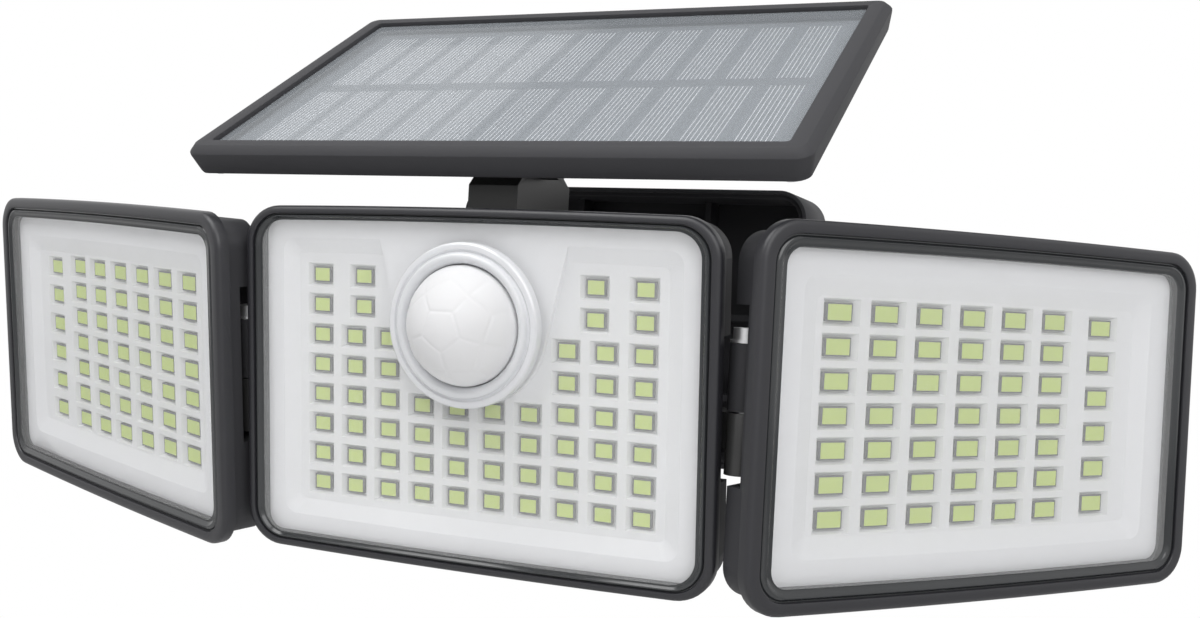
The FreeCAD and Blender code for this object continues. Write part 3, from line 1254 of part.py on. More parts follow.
# ================================================================ solar panel
def panel_outline(inset_x, inset_y, corner, z):
    """Rounded rectangle in the panel's own frame, at height z."""
    wire = rounded_box_outline(PANEL_WIDTH - 2 * inset_x, PANEL_DEPTH - 2 * inset_y, corner, 0)
    flat = FreeCAD.Placement(vec(0, 0, z), FreeCAD.Rotation(X_AXIS, -90))
    moved = wire.copy()
    moved.Placement = flat
    return moved


def slab(wire, height):
    """Solid from a level outline, raised by height."""
    return Part.Face(wire).extrude(vec(0, 0, height))


def panel_frame():
    """Black frame: chamfered top edge, leaning wall, glass seat and an open back."""
    chamfer = PANEL_CHAMFER
    thick = PANEL_THICKNESS
    body = join([
        loft(panel_outline(PANEL_DRAFT, PANEL_DRAFT, PANEL_CORNER, -thick),
             panel_outline(0, 0, PANEL_CORNER, -chamfer)),
        loft(panel_outline(0, 0, PANEL_CORNER, -chamfer),
             panel_outline(chamfer, chamfer, PANEL_CORNER - chamfer / 2, 0))])
    under = -thick - OVERRUN
    mouth = slab(panel_outline(chamfer + PANEL_BORDER_SIDE, chamfer + PANEL_BORDER_FRONT,
                               PANEL_MOUTH_CORNER, under), thick + 2 * OVERRUN)
    seat = slab(panel_outline(PANEL_BACK_MARGIN, PANEL_BACK_MARGIN, PANEL_SEAT_CORNER, under),
                thick + OVERRUN - GLASS_SINK)
    frame = join([body.cut([mouth, seat])] + panel_blocks(0))
    return frame.cut(panel_screw_rods(PANEL_SCREW_RADIUS))


def panel_blocks(grow):
    """Frame's corner blocks between the glass and the back cover, that take the screws."""
    x0 = PANEL_WIDTH / 2 - PANEL_BACK_MARGIN
    y0 = PANEL_DEPTH / 2 - PANEL_BACK_MARGIN
    z0 = -PANEL_THICKNESS + PANEL_BACK_THICKNESS
    z1 = -GLASS_SINK - GLASS_THICKNESS
    blocks = []
    for sx in (-1, 1):
        for sy in (-1, 1):
            x = sorted((sx * (x0 - PANEL_BLOCK - grow), sx * (x0 + BITE)))
            y = sorted((sy * (y0 - PANEL_BLOCK - grow), sy * (y0 + BITE)))
            blocks.append(box(x[0], x[1], y[0], y[1], z0, z1))
    return blocks


def panel_screw_rods(radius):
    """Bores or shanks of the panel's corner screws."""
    bottom = -PANEL_THICKNESS
    return [rod(radius, bottom, bottom + PANEL_SCREW_LENGTH, x, y, "z")
            for x, y in panel_screw_places()]


def panel_glass():
    """Clear sheet over the cells, seated under the frame's top edge."""
    inset = PANEL_BACK_MARGIN + FIT_GAP
    outline = panel_outline(inset, inset, PANEL_SEAT_CORNER - FIT_GAP,
                            -GLASS_SINK - GLASS_THICKNESS)
    return slab(outline, GLASS_THICKNESS)


def solar_cells():
    """Two rows of dark cells against the back of the glass."""
    top = -GLASS_SINK - GLASS_THICKNESS
    inner_x = PANEL_WIDTH / 2 - PANEL_CHAMFER - CELL_MARGIN_SIDE
    inner_y = PANEL_DEPTH / 2 - PANEL_CHAMFER - CELL_MARGIN_END - PANEL_BORDER_FRONT / 2
    pitch = 2 * inner_x / CELL_COLUMNS
    cells = []
    for column in range(CELL_COLUMNS):
        x0 = -inner_x + column * pitch + CELL_GAP_X / 2
        for sign in (-1, 1):
            span = sorted((sign * CELL_GAP_ROWS / 2, sign * inner_y))
            cells.append(box(x0, x0 + pitch - CELL_GAP_X, span[0], span[1],
                             top - CELL_THICKNESS, top))
    return group(cells)


def panel_screw_places():
    """Four screws of the panel's back cover."""
    x = PANEL_WIDTH / 2 - PANEL_SCREW_INSET
    y = PANEL_DEPTH / 2 - PANEL_SCREW_INSET
    return [(sx * x, sy * y) for sx in (-1, 1) for sy in (-1, 1)]


def panel_axis():
    """Panel's hinge axis in the panel's own frame: slope-wise place and height."""
    point = vec(0, PANEL_AXIS_BACK - PANEL_CENTRE_BACK, PANEL_AXIS_RISE - PANEL_CENTRE_RISE)
    local = FreeCAD.Rotation(X_AXIS, -PANEL_TILT).multVec(point)
    return local.y, local.z


def panel_back_cover():
    """Back plate of the panel with its upright ring and the two hinge ears."""
    inset = PANEL_BACK_MARGIN + FIT_GAP
    bottom = -PANEL_THICKNESS
    outline = panel_outline(inset, inset, PANEL_SEAT_CORNER - FIT_GAP, bottom)
    plate = slab(outline, PANEL_BACK_THICKNESS)
    ring = slab(outline, PANEL_THICKNESS - GLASS_SINK - GLASS_THICKNESS)
    inside = panel_outline(inset + PANEL_RING, inset + PANEL_RING, PANEL_MOUTH_CORNER,
                           bottom - OVERRUN)
    ring = ring.cut([slab(inside, PANEL_THICKNESS + 2 * OVERRUN)] + panel_blocks(FIT_GAP))
    axis_y, axis_z = panel_axis()
    ears = []
    for sign in (-1, 1):
        inner = POST_WIDTH / 2 + EAR_GAP
        ear_x = sorted((sign * inner, sign * (inner + PANEL_EAR_THICKNESS)))
        eye = rod(PANEL_KNUCKLE_RADIUS, ear_x[0], ear_x[1], axis_y, axis_z, "x")
        root = [vec(ear_x[0], axis_y - PANEL_KNUCKLE_RADIUS, axis_z),
                vec(ear_x[0], axis_y + PANEL_KNUCKLE_RADIUS, axis_z),
                vec(ear_x[0], axis_y + PANEL_KNUCKLE_RADIUS + PANEL_EAR_SPREAD_UP, bottom + BITE),
                vec(ear_x[0], axis_y - PANEL_KNUCKLE_RADIUS - PANEL_EAR_SPREAD_DOWN,
                    bottom + BITE)]
        web = Part.Face(Part.makePolygon(root + root[:1])).extrude(
            vec(PANEL_EAR_THICKNESS, 0, 0))
        ears += [eye, web]
    cover = join([plate, ring] + ears)
    bolt = rod(PANEL_BOLT_RADIUS + RUNNING_GAP, -POST_WIDTH, POST_WIDTH, axis_y, axis_z, "x")
    return cover.cut(panel_screw_rods(PANEL_SCREW_RADIUS + FIT_GAP) + [bolt])


def panel_screws():
    """Screws in the back cover's corners."""
    bottom = -PANEL_THICKNESS
    screws = []
    for x, y in panel_screw_places():
        head = rod(PANEL_SCREW_HEAD_RADIUS, bottom - PANEL_SCREW_HEAD, bottom, x, y, "z")
        shank = rod(PANEL_SCREW_RADIUS, bottom - PANEL_SCREW_HEAD / 2,
                    bottom + PANEL_SCREW_LENGTH, x, y, "z")
        screws.append(join([head, shank]))
    return group(screws)


# ================================================================ mode button
def mode_button():
    """Push button under the body, held in by its collar."""
    x, y = button_place()
    low = BODY_RISE - BODY_HEIGHT / 2
    collar_low = low + BODY_WALL + FIT_GAP
    cap = rod(BUTTON_RADIUS, low - BUTTON_STANDS_OUT, collar_low + BITE, x, y, "z")
    edges = [e for e in cap.Edges if abs(e.CenterOfMass.z - (low - BUTTON_STANDS_OUT)) < 1e-6]
    cap = cap.makeFillet(BUTTON_EDGE_ROUND, edges)
    collar = rod(BUTTON_RADIUS + BUTTON_COLLAR, collar_low, collar_low + BUTTON_COLLAR_THICKNESS,
                 x, y, "z")
    return join([cap, collar])


def button_switch():
    """Small switch above the button, on its own carrier."""
    x, y = button_place()
    low = BODY_RISE - BODY_HEIGHT / 2
    base = low + BODY_WALL + FIT_GAP + BUTTON_COLLAR_THICKNESS + BUTTON_TRAVEL + SWITCH_GAP
    half = SWITCH_SIZE / 2
    top = base + SWITCH_HEIGHT
    body = box(x - half, x + half, y - half, y + half, base, top)
    carrier = box(x - SWITCH_CARRIER_HALF, x + SWITCH_CARRIER_HALF, y - half, y + half,
                  top, top + SWITCH_CARRIER)
    legs = []
    for sx in (-1, 1):
        leg = x + sx * SWITCH_CARRIER_HALF
        legs.append(box(leg - SWITCH_LEG / 2, leg + SWITCH_LEG / 2, y - half, y + half,
                        low + BODY_WALL, top + BITE))
    return join([body, carrier] + legs)


# ================================================================ building
def build_lamp(lamp, placement):
    """Write the pieces that every lamp has."""
    pieces = {
        "front_frame": front_frame, "lens": lens, "lens_gasket": gasket,
        "reflector": reflector, "led_board": led_board, "leds": leds,
    }
    for name, maker in pieces.items():
        save(lamp.name + "_" + name, placed(maker(lamp), placement))


def main():
    """Build and write every piece."""
    os.makedirs("parts", exist_ok=True)
    centre = centre_placement()
    build_lamp(CENTRE, centre)
    for name, maker in (("centre_housing", centre_housing), ("rear_cover", rear_cover),
                        ("rear_cover_seal", cover_seal), ("rear_cover_screws", cover_screws),
                        ("battery_cell", battery_cell), ("control_board", control_board),
                        ("sensor_ring", sensor_ring), ("sensor_dome", sensor_dome),
                        ("sensor_board", sensor_board), ("pir_sensor", pir_sensor),
                        ("panel_post", panel_post), ("panel_post_screws", post_screws),
                        ("mode_button", mode_button), ("button_switch", button_switch)):
        save(name, placed(maker(), centre))
    save("panel_hinge_bolt", placed(panel_bolt(), base_placement()))
    for lamp in (LEFT, RIGHT):
        placement = side_placement(lamp)
        build_lamp(lamp, placement)
        save(lamp.name + "_housing", placed(side_housing(lamp), placement))
        side = -lamp.inner
        arm = arm_placement(RIGHT_ARM_TILT if side > 0 else LEFT_ARM_TILT)
        save(lamp.name + "_swivel_arm", placed(swivel_arm(side), arm))
        save(lamp.name + "_pan_screw", placed(pan_screw(side), arm))
        save(lamp.name + "_arm_screw", placed(arm_screw(side), arm))
    save("wall_bracket", wall_bracket())
    save("tilt_bolt", tilt_bolt())
    save("tilt_nut", tilt_nut())
    panel = panel_placement()
    for name, maker in (("panel_frame", panel_frame), ("panel_glass", panel_glass),
                        ("solar_cells", solar_cells), ("panel_back_cover", panel_back_cover),
                        ("panel_screws", panel_screws)):
        save(name, placed(maker(), panel))


main()
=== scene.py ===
"""Dresses the motion sensor security light: three lamps, a sensor dome and a solar panel.

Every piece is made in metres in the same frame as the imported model: +Z up, the lamps face -Y,
and the wall is the plane y = 0. A lamp's own frame has x to the right, y backwards from the
front edge of its rim, and z up; sizes in it are written in millimetres.
"""

from __future__ import annotations

import json
import logging
import math
from collections.abc import Callable, Iterable, Sequence
from dataclasses import dataclass, field
from enum import Enum
from typing import Any

import bmesh
import bpy
from mathutils import Euler, Matrix, Vector

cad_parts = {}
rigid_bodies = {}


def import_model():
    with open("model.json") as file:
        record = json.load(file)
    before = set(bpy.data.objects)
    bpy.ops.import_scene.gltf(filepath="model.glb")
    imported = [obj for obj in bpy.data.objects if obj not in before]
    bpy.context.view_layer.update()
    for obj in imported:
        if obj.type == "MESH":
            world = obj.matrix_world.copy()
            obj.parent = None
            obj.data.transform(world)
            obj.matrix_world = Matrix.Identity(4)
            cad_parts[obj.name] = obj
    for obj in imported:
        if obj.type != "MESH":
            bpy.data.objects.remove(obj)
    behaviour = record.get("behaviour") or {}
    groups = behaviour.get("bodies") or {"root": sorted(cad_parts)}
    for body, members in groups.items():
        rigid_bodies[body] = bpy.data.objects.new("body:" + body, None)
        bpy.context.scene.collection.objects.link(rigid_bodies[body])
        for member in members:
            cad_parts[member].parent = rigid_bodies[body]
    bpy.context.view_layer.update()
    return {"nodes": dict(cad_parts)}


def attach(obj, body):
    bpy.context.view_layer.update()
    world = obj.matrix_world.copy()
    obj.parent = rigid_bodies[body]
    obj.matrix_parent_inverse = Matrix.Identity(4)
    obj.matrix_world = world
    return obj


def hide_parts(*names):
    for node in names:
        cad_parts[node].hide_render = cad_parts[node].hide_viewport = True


MM = 0.001
LOG = logging.getLogger("security_light")
WHITE = (1.0, 1.0, 1.0, 1.0)
MIX_FIRST, MIX_SECOND, MIX_RESULT = 6, 7, 2     # colour sockets of a Mix node
SAME_CORNER = 1e-7           # m between corners of a new mesh that are one corner
SAME_PACKED_CORNER = 1e-6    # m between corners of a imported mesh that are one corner
SQUARE = 0.01                # cosine below which two edges count as square to each other


# ======== node graphs
@dataclass(frozen=True)
class Link:
    """One output socket that can stand in a Python expression."""

    graph: Graph
    socket: bpy.types.NodeSocket

    def _math(self, operation: str, *values: Any) -> Link:
        """Return a Math node of these values."""
        return self.graph.node("ShaderNodeMath", {"operation": operation},
                               dict(enumerate(values)))

    def __add__(self, other: Any) -> Link:
        """Sum."""
        return self._math("ADD", self, other)

    def __sub__(self, other: Any) -> Link:
        """Difference."""
        return self._math("SUBTRACT", self, other)

    def __rsub__(self, other: Any) -> Link:
        """Difference from a number."""
        return self._math("SUBTRACT", other, self)

    def __mul__(self, other: Any) -> Link:
        """Product."""
        return self._math("MULTIPLY", self, other)

    def clamp(self) -> Link:
        """Limit to the range from 0 to 1."""
        return self.graph.node("ShaderNodeClamp", {}, {"Value": self})


class Graph:
    """A node tree that grows by one method."""

    def __init__(self, tree: bpy.types.NodeTree) -> None:
        """Start on an empty tree.

        Args:
            tree: the tree that the nodes go into.
        """
        self.tree = tree
        tree.nodes.clear()

    def node(self, kind: str, settings: dict[str, Any], inputs: dict[Any, Any],
             output: int | str = 0) -> Link:
        """Add a node.

        Args:
            kind: the node's type name.
            settings: attributes that are set first.
            inputs: socket name or number to a value or a Link.
            output: which output to return.

        Returns:
            The chosen output.
        """
        made = self.tree.nodes.new(kind)
        for key, value in settings.items():
            setattr(made, key, value)
        for key, value in inputs.items():
            socket = made.inputs[key]
            if isinstance(value, Link):
                self.tree.links.new(value.socket, socket)
            else:
                socket.default_value = value
        return Link(self, made.outputs[output] if made.outputs else None)

    def noise(self, scale: float, detail: float = 3.0, roughness: float = 0.55) -> Link:
        """Noise of object space, from 0 to 1."""
        where = self.node("ShaderNodeTexCoord", {}, {}, "Object")
        return self.node("ShaderNodeTexNoise", {}, {
            "Vector": where, "Scale": scale, "Detail": detail, "Roughness": roughness}, "Fac")

    def blend(self, amount: Any, first: Any, second: Any) -> Link:
        """Mix two colours."""
        return self.node("ShaderNodeMix", {"data_type": "RGBA"}, {
            "Factor": amount, MIX_FIRST: first, MIX_SECOND: second}, MIX_RESULT)


def new_material(name: str) -> tuple[bpy.types.Material, Graph]:
    """Return a new material and its empty graph."""
    material = bpy.data.materials.new(name)
    material.use_nodes = True
    return material, Graph(material.node_tree)


def rgb(red: float, green: float, blue: float) -> tuple[float, float, float, float]:
    """Colour as it is read off a screen, from 0 to 255, made linear."""
    def linear(value: float) -> float:
        value /= 255.0
        return value / 12.92 if value <= 0.04045 else ((value + 0.055) / 1.055) ** 2.4
    return (linear(red), linear(green), linear(blue), 1.0)


# ======== finishes
@dataclass(frozen=True)
class Moulded:
    """Moulded plastic or rubber: fine grain, slight mottling and worn gloss."""

    name: str
    colour: tuple[float, float, float, float]
    roughness: float = 0.45
    spread: float = 0.06         # how far roughness wanders
    mottle: float = 0.10         # how far the colour wanders
    grain: float = 1600.0        # grain cells per metre
    grain_depth: float = 0.010   # mm
    specular: float = 0.5
    coat: float = 0.0
    coat_roughness: float = 0.12
    subsurface: float = 0.0
    scatter: float = 0.004       # m
    scatter_scale: float = 0.5
    cloud: float = 22.0          # patches of mottling per metre

    def build(self) -> bpy.types.Material:
        """Return the material."""
        material, graph = new_material(self.name)
        cloud = graph.noise(self.cloud)
        grain = graph.noise(self.grain, 2.0, 0.6)
        darker = tuple(c * (1 - self.mottle) for c in self.colour[:3]) + (1.0,)
        lighter = tuple(min(1.0, c * (1 + self.mottle)) for c in self.colour[:3]) + (1.0,)
        colour = graph.blend(cloud, darker, lighter)
        rough = (cloud - 0.5) * (2 * self.spread) + (grain - 0.5) * self.spread + self.roughness
        bump = graph.node("ShaderNodeBump", {}, {
            "Strength": 1.0, "Distance": self.grain_depth * MM, "Height": grain})
        surface = graph.node("ShaderNodeBsdfPrincipled", {}, {
            "Base Color": colour, "Roughness": rough.clamp(), "Normal": bump,
            "Specular IOR Level": self.specular, "Coat Weight": self.coat,
            "Coat Roughness": self.coat_roughness, "Subsurface Weight": self.subsurface,
            "Subsurface Radius": (self.scatter,) * 3, "Subsurface Scale": self.scatter_scale})
        graph.node("ShaderNodeOutputMaterial", {}, {"Surface": surface})
        return material


@dataclass(frozen=True)
class Metal:
    """Turned or plated metal with fine streaks."""

    name: str
    colour: tuple[float, float, float, float]
    roughness: float = 0.25
    spread: float = 0.10         # how far roughness wanders
    grain: float = 900.0         # streaks per metre
    grain_depth: float = 0.006   # mm
    grain_strength: float = 0.6
    cloud: float = 60.0          # dull patches per metre
    shade: float = 0.8           # brightness of a dull patch

    def build(self) -> bpy.types.Material:
        """Return the material."""
        material, graph = new_material(self.name)
        streak = graph.noise(self.grain, 2.0)
        cloud = graph.noise(self.cloud, 2.0)
        darker = tuple(c * self.shade for c in self.colour[:3]) + (1.0,)
        rough = (streak - 0.5) * (2 * self.spread) + (cloud - 0.5) * self.spread + self.roughness
        bump = graph.node("ShaderNodeBump", {}, {
            "Strength": self.grain_strength, "Distance": self.grain_depth * MM,
            "Height": streak})
        surface = graph.node("ShaderNodeBsdfPrincipled", {}, {
            "Base Color": graph.blend(cloud, darker, self.colour), "Metallic": 1.0,
            "Roughness": rough.clamp(), "Normal": bump})
        graph.node("ShaderNodeOutputMaterial", {}, {"Surface": surface})
        return material


@dataclass(frozen=True)
class ClearSheet:
    """Clear plastic or glass sheet: see-through, with gloss that grows at a slant."""

    name: str
    tint: tuple[float, float, float, float]
    index: float = 1.46
    roughness: float = 0.02
    smear: float = 35.0          # smears per metre
    smear_depth: float = 0.03    # how far roughness wanders

    def build(self) -> bpy.types.Material:
        """Return the material."""
        material, graph = new_material(self.name)
        smear = graph.noise(self.smear)
        # Light goes straight through, so a back face would wrongly mirror all that slants.
        inside = graph.node("ShaderNodeNewGeometry", {}, {}, "Backfacing")
        gloss = graph.node("ShaderNodeFresnel", {}, {"IOR": self.index}) * (1.0 - inside)
        through = graph.node("ShaderNodeBsdfTransparent", {}, {"Color": self.tint})
        mirror = graph.node("ShaderNodeBsdfPrincipled", {}, {
            "Base Color": WHITE, "Metallic": 1.0,
            "Roughness": (smear * self.smear_depth + self.roughness).clamp()})
        clear = graph.node("ShaderNodeMixShader", {}, {0: gloss, 1: through, 2: mirror})
        graph.node("ShaderNodeOutputMaterial", {}, {"Surface": clear})
        return material


@dataclass(frozen=True)
class CellCoat:
    """Dark coated solar cell with a faint cloudy sheen."""

    name: str
    colour: tuple[float, float, float, float]
    roughness: float = 0.35
    spread: float = 0.12         # how far roughness wanders
    specular: float = 0.08
    cloud: float = 40.0          # cloudy patches per metre
    lift: float = 1.5            # brightness of a cloudy patch
    speck: float = 2500.0        # specks per metre
    speck_depth: float = 0.004   # mm
    speck_strength: float = 0.15

    def build(self) -> bpy.types.Material:
        """Return the material."""
        material, graph = new_material(self.name)
        cloud = graph.noise(self.cloud, 4.0)
        speck = graph.noise(self.speck, 1.0)
        lighter = tuple(c * self.lift for c in self.colour[:3]) + (1.0,)
        rough = (cloud - 0.5) * self.spread + self.roughness
        bump = graph.node("ShaderNodeBump", {}, {
            "Strength": self.speck_strength, "Distance": self.speck_depth * MM,
            "Height": speck})
        surface = graph.node("ShaderNodeBsdfPrincipled", {}, {
            "Specular IOR Level": self.specular,
            "Base Color": graph.blend(cloud, self.colour, lighter),
            "Roughness": rough.clamp(), "Normal": bump})
        graph.node("ShaderNodeOutputMaterial", {}, {"Surface": surface})
        return material


class Finish(Enum):
    """Every finish of the light."""

    HOUSING = Moulded("housing_black", rgb(17, 18, 19), 0.46, grain=1500.0, specular=0.15)
    RIM = Moulded("rim_black", rgb(9, 9, 10), 0.28, 0.05, grain=1900.0, grain_depth=0.004,
                  specular=0.24)
    HINGE = Moulded("hinge_black", rgb(17, 18, 19), 0.42, specular=0.15)
    # painted light: opaque grey for the light that the clear cover's edge refracts; its gloss is
    # real
    COVER_EDGE_PAINTED_LIGHT = Moulded("cover_edge_painted_light", rgb(46, 48, 50), 0.16, 0.04, grain_depth=0.001,
                         specular=0.6)
    SEAL = Moulded("seal_rubber", rgb(28, 28, 28), 0.80)
    REFLECTOR = Moulded("reflector_white", rgb(212, 212, 220), 0.42, 0.04, 0.015,
                        grain=1200.0, grain_depth=0.003, specular=0.3)
    BOARD_WHITE = Moulded("board_white", rgb(226, 226, 224), 0.45, mottle=0.02)
    BOARD_GREEN = Moulded("board_green", rgb(32, 92, 52), 0.35)
    CHIP_BODY = Moulded("chip_body", rgb(20, 25, 16), 0.35, mottle=0.05, specular=0.2)
    PHOSPHOR = Moulded("led_phosphor", rgb(150, 198, 6), 0.42, 0.05, 0.05, grain=5200.0,
                       grain_depth=0.006, specular=0.3)
    RING_WHITE = Moulded("ring_white", rgb(226, 227, 230), 0.16, 0.03, 0.01, grain_depth=0.001,
                         coat=0.6)
    DOME = Moulded("dome_white", rgb(232, 232, 236), 0.22, 0.03, 0.01, grain_depth=0.001,
                   coat=0.5, subsurface=0.25)
    BUTTON = Moulded("button_rubber", rgb(36, 36, 37), 0.75)
    SLEEVE = Moulded("battery_sleeve", rgb(44, 96, 150), 0.30)
    STEEL = Metal("screw_steel", rgb(205, 206, 208), 0.24)
    RING_SILVER = Metal("ring_silver", rgb(226, 228, 232), 0.10, 0.03)
    GRID = Moulded("grid_silver", rgb(236, 238, 242), 0.45, 0.05, 0.02, grain_depth=0.001)
    COVER = ClearSheet("clear_cover", (0.99, 0.99, 0.995, 1.0), 1.16)
    GLASS = ClearSheet("panel_glass", (0.95, 0.96, 0.97, 1.0), 1.52, 0.01)
    CELL = CellCoat("solar_cell", rgb(24, 26, 30))
    BACK_SHEET = CellCoat("solar_sheet", rgb(32, 34, 38), 0.5)

    def material(self) -> bpy.types.Material:
        """Return the one material of this finish, made on first use."""
        found = bpy.data.materials.get(self.value.name)
        return found or self.value.build()


# ======== meshes
@dataclass
class MeshMaker:
    """Collects corners and faces, then makes an object."""

    corners: list[Vector] = field(default_factory=list)
    faces: list[tuple[int, ...]] = field(default_factory=list)
    paints: list[int] = field(default_factory=list)

    def ring(self, points: Iterable[Vector]) -> list[int]:
        """Add a ring of corners and return their numbers."""
        start = len(self.corners)
        self.corners.extend(points)
        return list(range(start, len(self.corners)))

    def bridge(self, first: Sequence[int], second: Sequence[int], paint: int = 0) -> None:
        """Join two rings of the same length by a strip of quads."""
        count = len(first)
        for k in range(count):
            after = (k + 1) % count
            self.faces.append((first[k], first[after], second[after], second[k]))
            self.paints.append(paint)

    def loft(self, rings: Sequence[Sequence[Vector]], closed: bool,
             paint: Callable[[int], int] = lambda k: 0) -> list[list[int]]:
        """Join rings one after another.

        Args:
            rings: the rings' points.
            closed: whether the last ring joins the first.
            paint: material number of the strip after ring k.

        Returns:
            The rings' corner numbers.
        """
        numbers = [self.ring(points) for points in rings]
        last = len(numbers) if closed else len(numbers) - 1
        for k in range(last):
            self.bridge(numbers[k], numbers[(k + 1) % len(numbers)], paint(k))
        return numbers

    def cap(self, ring: Sequence[int], paint: int = 0) -> None:
        """Close a ring by one face."""
        self.faces.append(tuple(ring))
        self.paints.append(paint)

    def make(self, name: str, place: Matrix, finishes: Sequence[Finish],
             sharp: float = 38.0) -> bpy.types.Object:
        """Make the object.

        Args:
            name: the piece's name.
            place: the frame that the corners, in millimetres, are written in.
            finishes: finishes in the order of the material numbers.
            sharp: edges that turn by more than this angle stay sharp.

        Returns:
            The new object, at the origin, with its place in its mesh.
        """
        mesh = bpy.data.meshes.new(name)
        placed = [place @ (corner * MM) for corner in self.corners]
        mesh.from_pydata([tuple(p) for p in placed], [], self.faces)
        mesh.polygons.foreach_set("material_index", self.paints)
        for finish in finishes:
            mesh.materials.append(finish.material())
        shell = bmesh.new()
        shell.from_mesh(mesh)
        bmesh.ops.remove_doubles(shell, verts=shell.verts, dist=SAME_CORNER)
        bmesh.ops.recalc_face_normals(shell, faces=shell.faces)
        shell.to_mesh(mesh)
        shell.free()
        smooth(mesh, sharp)
        return put(name, mesh)


def put(name: str, data: bpy.types.ID) -> bpy.types.Object:
    """Put a new object of this data at the scene's origin."""
    made = bpy.data.objects.new(name, data)
    bpy.context.scene.collection.objects.link(made)
    return made


def report(*pieces: bpy.types.Object) -> None:
    """Log what was made."""
    for piece in pieces:
        LOG.info("%s: %d faces", piece.name, len(piece.data.polygons))


def smooth(mesh: bpy.types.Mesh, sharp: float) -> None:
    """Shade smooth apart from edges over the sharp angle, in degrees."""
    mesh.shade_smooth()
    mesh.set_sharp_from_angle(angle=math.radians(sharp))
    mesh.update()


def islands(node: bpy.types.Object) -> list[list[Vector]]:
    """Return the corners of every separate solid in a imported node."""
    shell = bmesh.new()
    shell.from_mesh(node.data)
    bmesh.ops.remove_doubles(shell, verts=shell.verts, dist=SAME_PACKED_CORNER)
    left = set(shell.verts)
    found = []
    while left:
        stack = [left.pop()]
        members = []
        while stack:
            corner = stack.pop()
            members.append(corner.co.copy())
            for edge in corner.link_edges:
                other = edge.other_vert(corner)
                if other in left:
                    left.remove(other)
                    stack.append(other)
        found.append(members)
    shell.free()
    return found


def box_axes(corners: Sequence[Vector]) -> list[tuple[float, Vector]]:
    """Edge lengths and directions of a box from its eight corners, shortest first."""
    first = corners[0]
    edges = sorted((other - first for other in corners[1:]), key=lambda v: v.length)
    chosen: list[Vector] = []
    for edge in edges:
        if all(abs(edge.normalized().dot(kept.normalized())) < SQUARE for kept in chosen):
            chosen.append(edge)
    return [(edge.length, edge.normalized()) for edge in chosen[:3]]


def middle(corners: Sequence[Vector]) -> Vector:
    """Mean of some corners."""
    total = Vector((0.0, 0.0, 0.0))
    for corner in corners:
        total += corner
    return total / len(corners)


def extent(corners: Sequence[Vector]) -> tuple[Vector, Vector]:
    """Lowest and highest corner of the box round some corners."""
    return (Vector([min(corner[k] for corner in corners) for k in range(3)]),
            Vector([max(corner[k] for corner in corners) for k in range(3)]))


def frame_matrix(x_axis: Vector, y_axis: Vector, z_axis: Vector, origin: Vector) -> Matrix:
    """Matrix whose columns are three axes and an origin."""
    return Matrix((
        (x_axis.x, y_axis.x, z_axis.x, origin.x),
        (x_axis.y, y_axis.y, z_axis.y, origin.y),
        (x_axis.z, y_axis.z, z_axis.z, origin.z),
        (0.0, 0.0, 0.0, 1.0)))


# ======== outlines
@dataclass(frozen=True)
class CrownedOutline:
    """Rounded rectangle with bulging top and bottom edges, in a lamp's own frame."""

    width: float
    height: float
    crown: float
    per_corner: int = 10
    per_edge: int = 12
    least_corner: float = 0.3

    def ring(self, side: float, top: float, corner: float, depth: float) -> list[Vector]:
        """Return the outline's points.

        Args:
            side: step in from the left and right edges.
            top: step in from the top and bottom edges.
            corner: corner radius.
            depth: how far back the ring lies.

        Returns:
            The ring's points, from the right over the top.
        """
        half = self.width / 2 - side
        high = self.height / 2 - top
        corner = max(corner, self.least_corner)
        quarter = []
        for k in range(self.per_corner + 1):
            angle = math.radians(90.0 * k / self.per_corner)
            quarter.append((half - corner + corner * math.cos(angle),
                            high - corner + corner * math.sin(angle)))
        foot = half - corner
        edge = [(foot - 2 * foot * k / self.per_edge, high) for k in range(1, self.per_edge)]
        upper = quarter + edge + [(-x, z) for x, z in reversed(quarter)]
        bulged = [(x, z - self._sag(x, z / high)) for x, z in upper]
        lower = [(-x, -z) for x, z in bulged]
        return [Vector((x, depth, z)) for x, z in bulged + lower]

    def _sag(self, x: float, share: float) -> float:
        """How far the edge lies below its middle at x, for a point at a share of the height."""
        return self.crown * (2 * x / self.width) ** 2 * share


def circle(radius: float, rise: float, depth: float, count: int) -> list[Vector]:
    """Points round the sensor's axis, from +x over +z."""
    return [Vector((radius * math.cos(math.tau * k / count), depth,
                    rise + radius * math.sin(math.tau * k / count))) for k in range(count)]


# ======== lamps
# Rim section: the soft outer edge as (step in, depth), the lip round the cover as (step out
# from the cover's opening, depth).
RIM_EDGE = ((0.0, 1.15), (0.1, 0.66), (0.38, 0.28), (0.8, 0.06), (1.15, 0.0))
RIM_LIP = ((0.42, 0.0), (0.12, 0.08), (0.0, 0.34))
# Cover's edge bead, painted opaque grey for the light that its clear plastic refracts: (share of
# the way from the rim to the white field, share of the bead).
COVER_BEAD = ((0.10, 0.0), (0.16, 0.5), (0.28, 1.0), (0.46, 1.0), (0.62, 0.4), (0.72, 0.0),
              (0.97, 0.0))


class Carried:
    """Something whose pieces all ride on one body."""

    body: str

    def settle(self, piece: bpy.types.Object, slot: str, *nodes: str) -> bpy.types.Object:
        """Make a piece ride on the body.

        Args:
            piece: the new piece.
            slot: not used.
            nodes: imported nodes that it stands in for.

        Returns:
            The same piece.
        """
        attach(piece, self.body)
        if nodes:
            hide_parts(*nodes)
        return piece


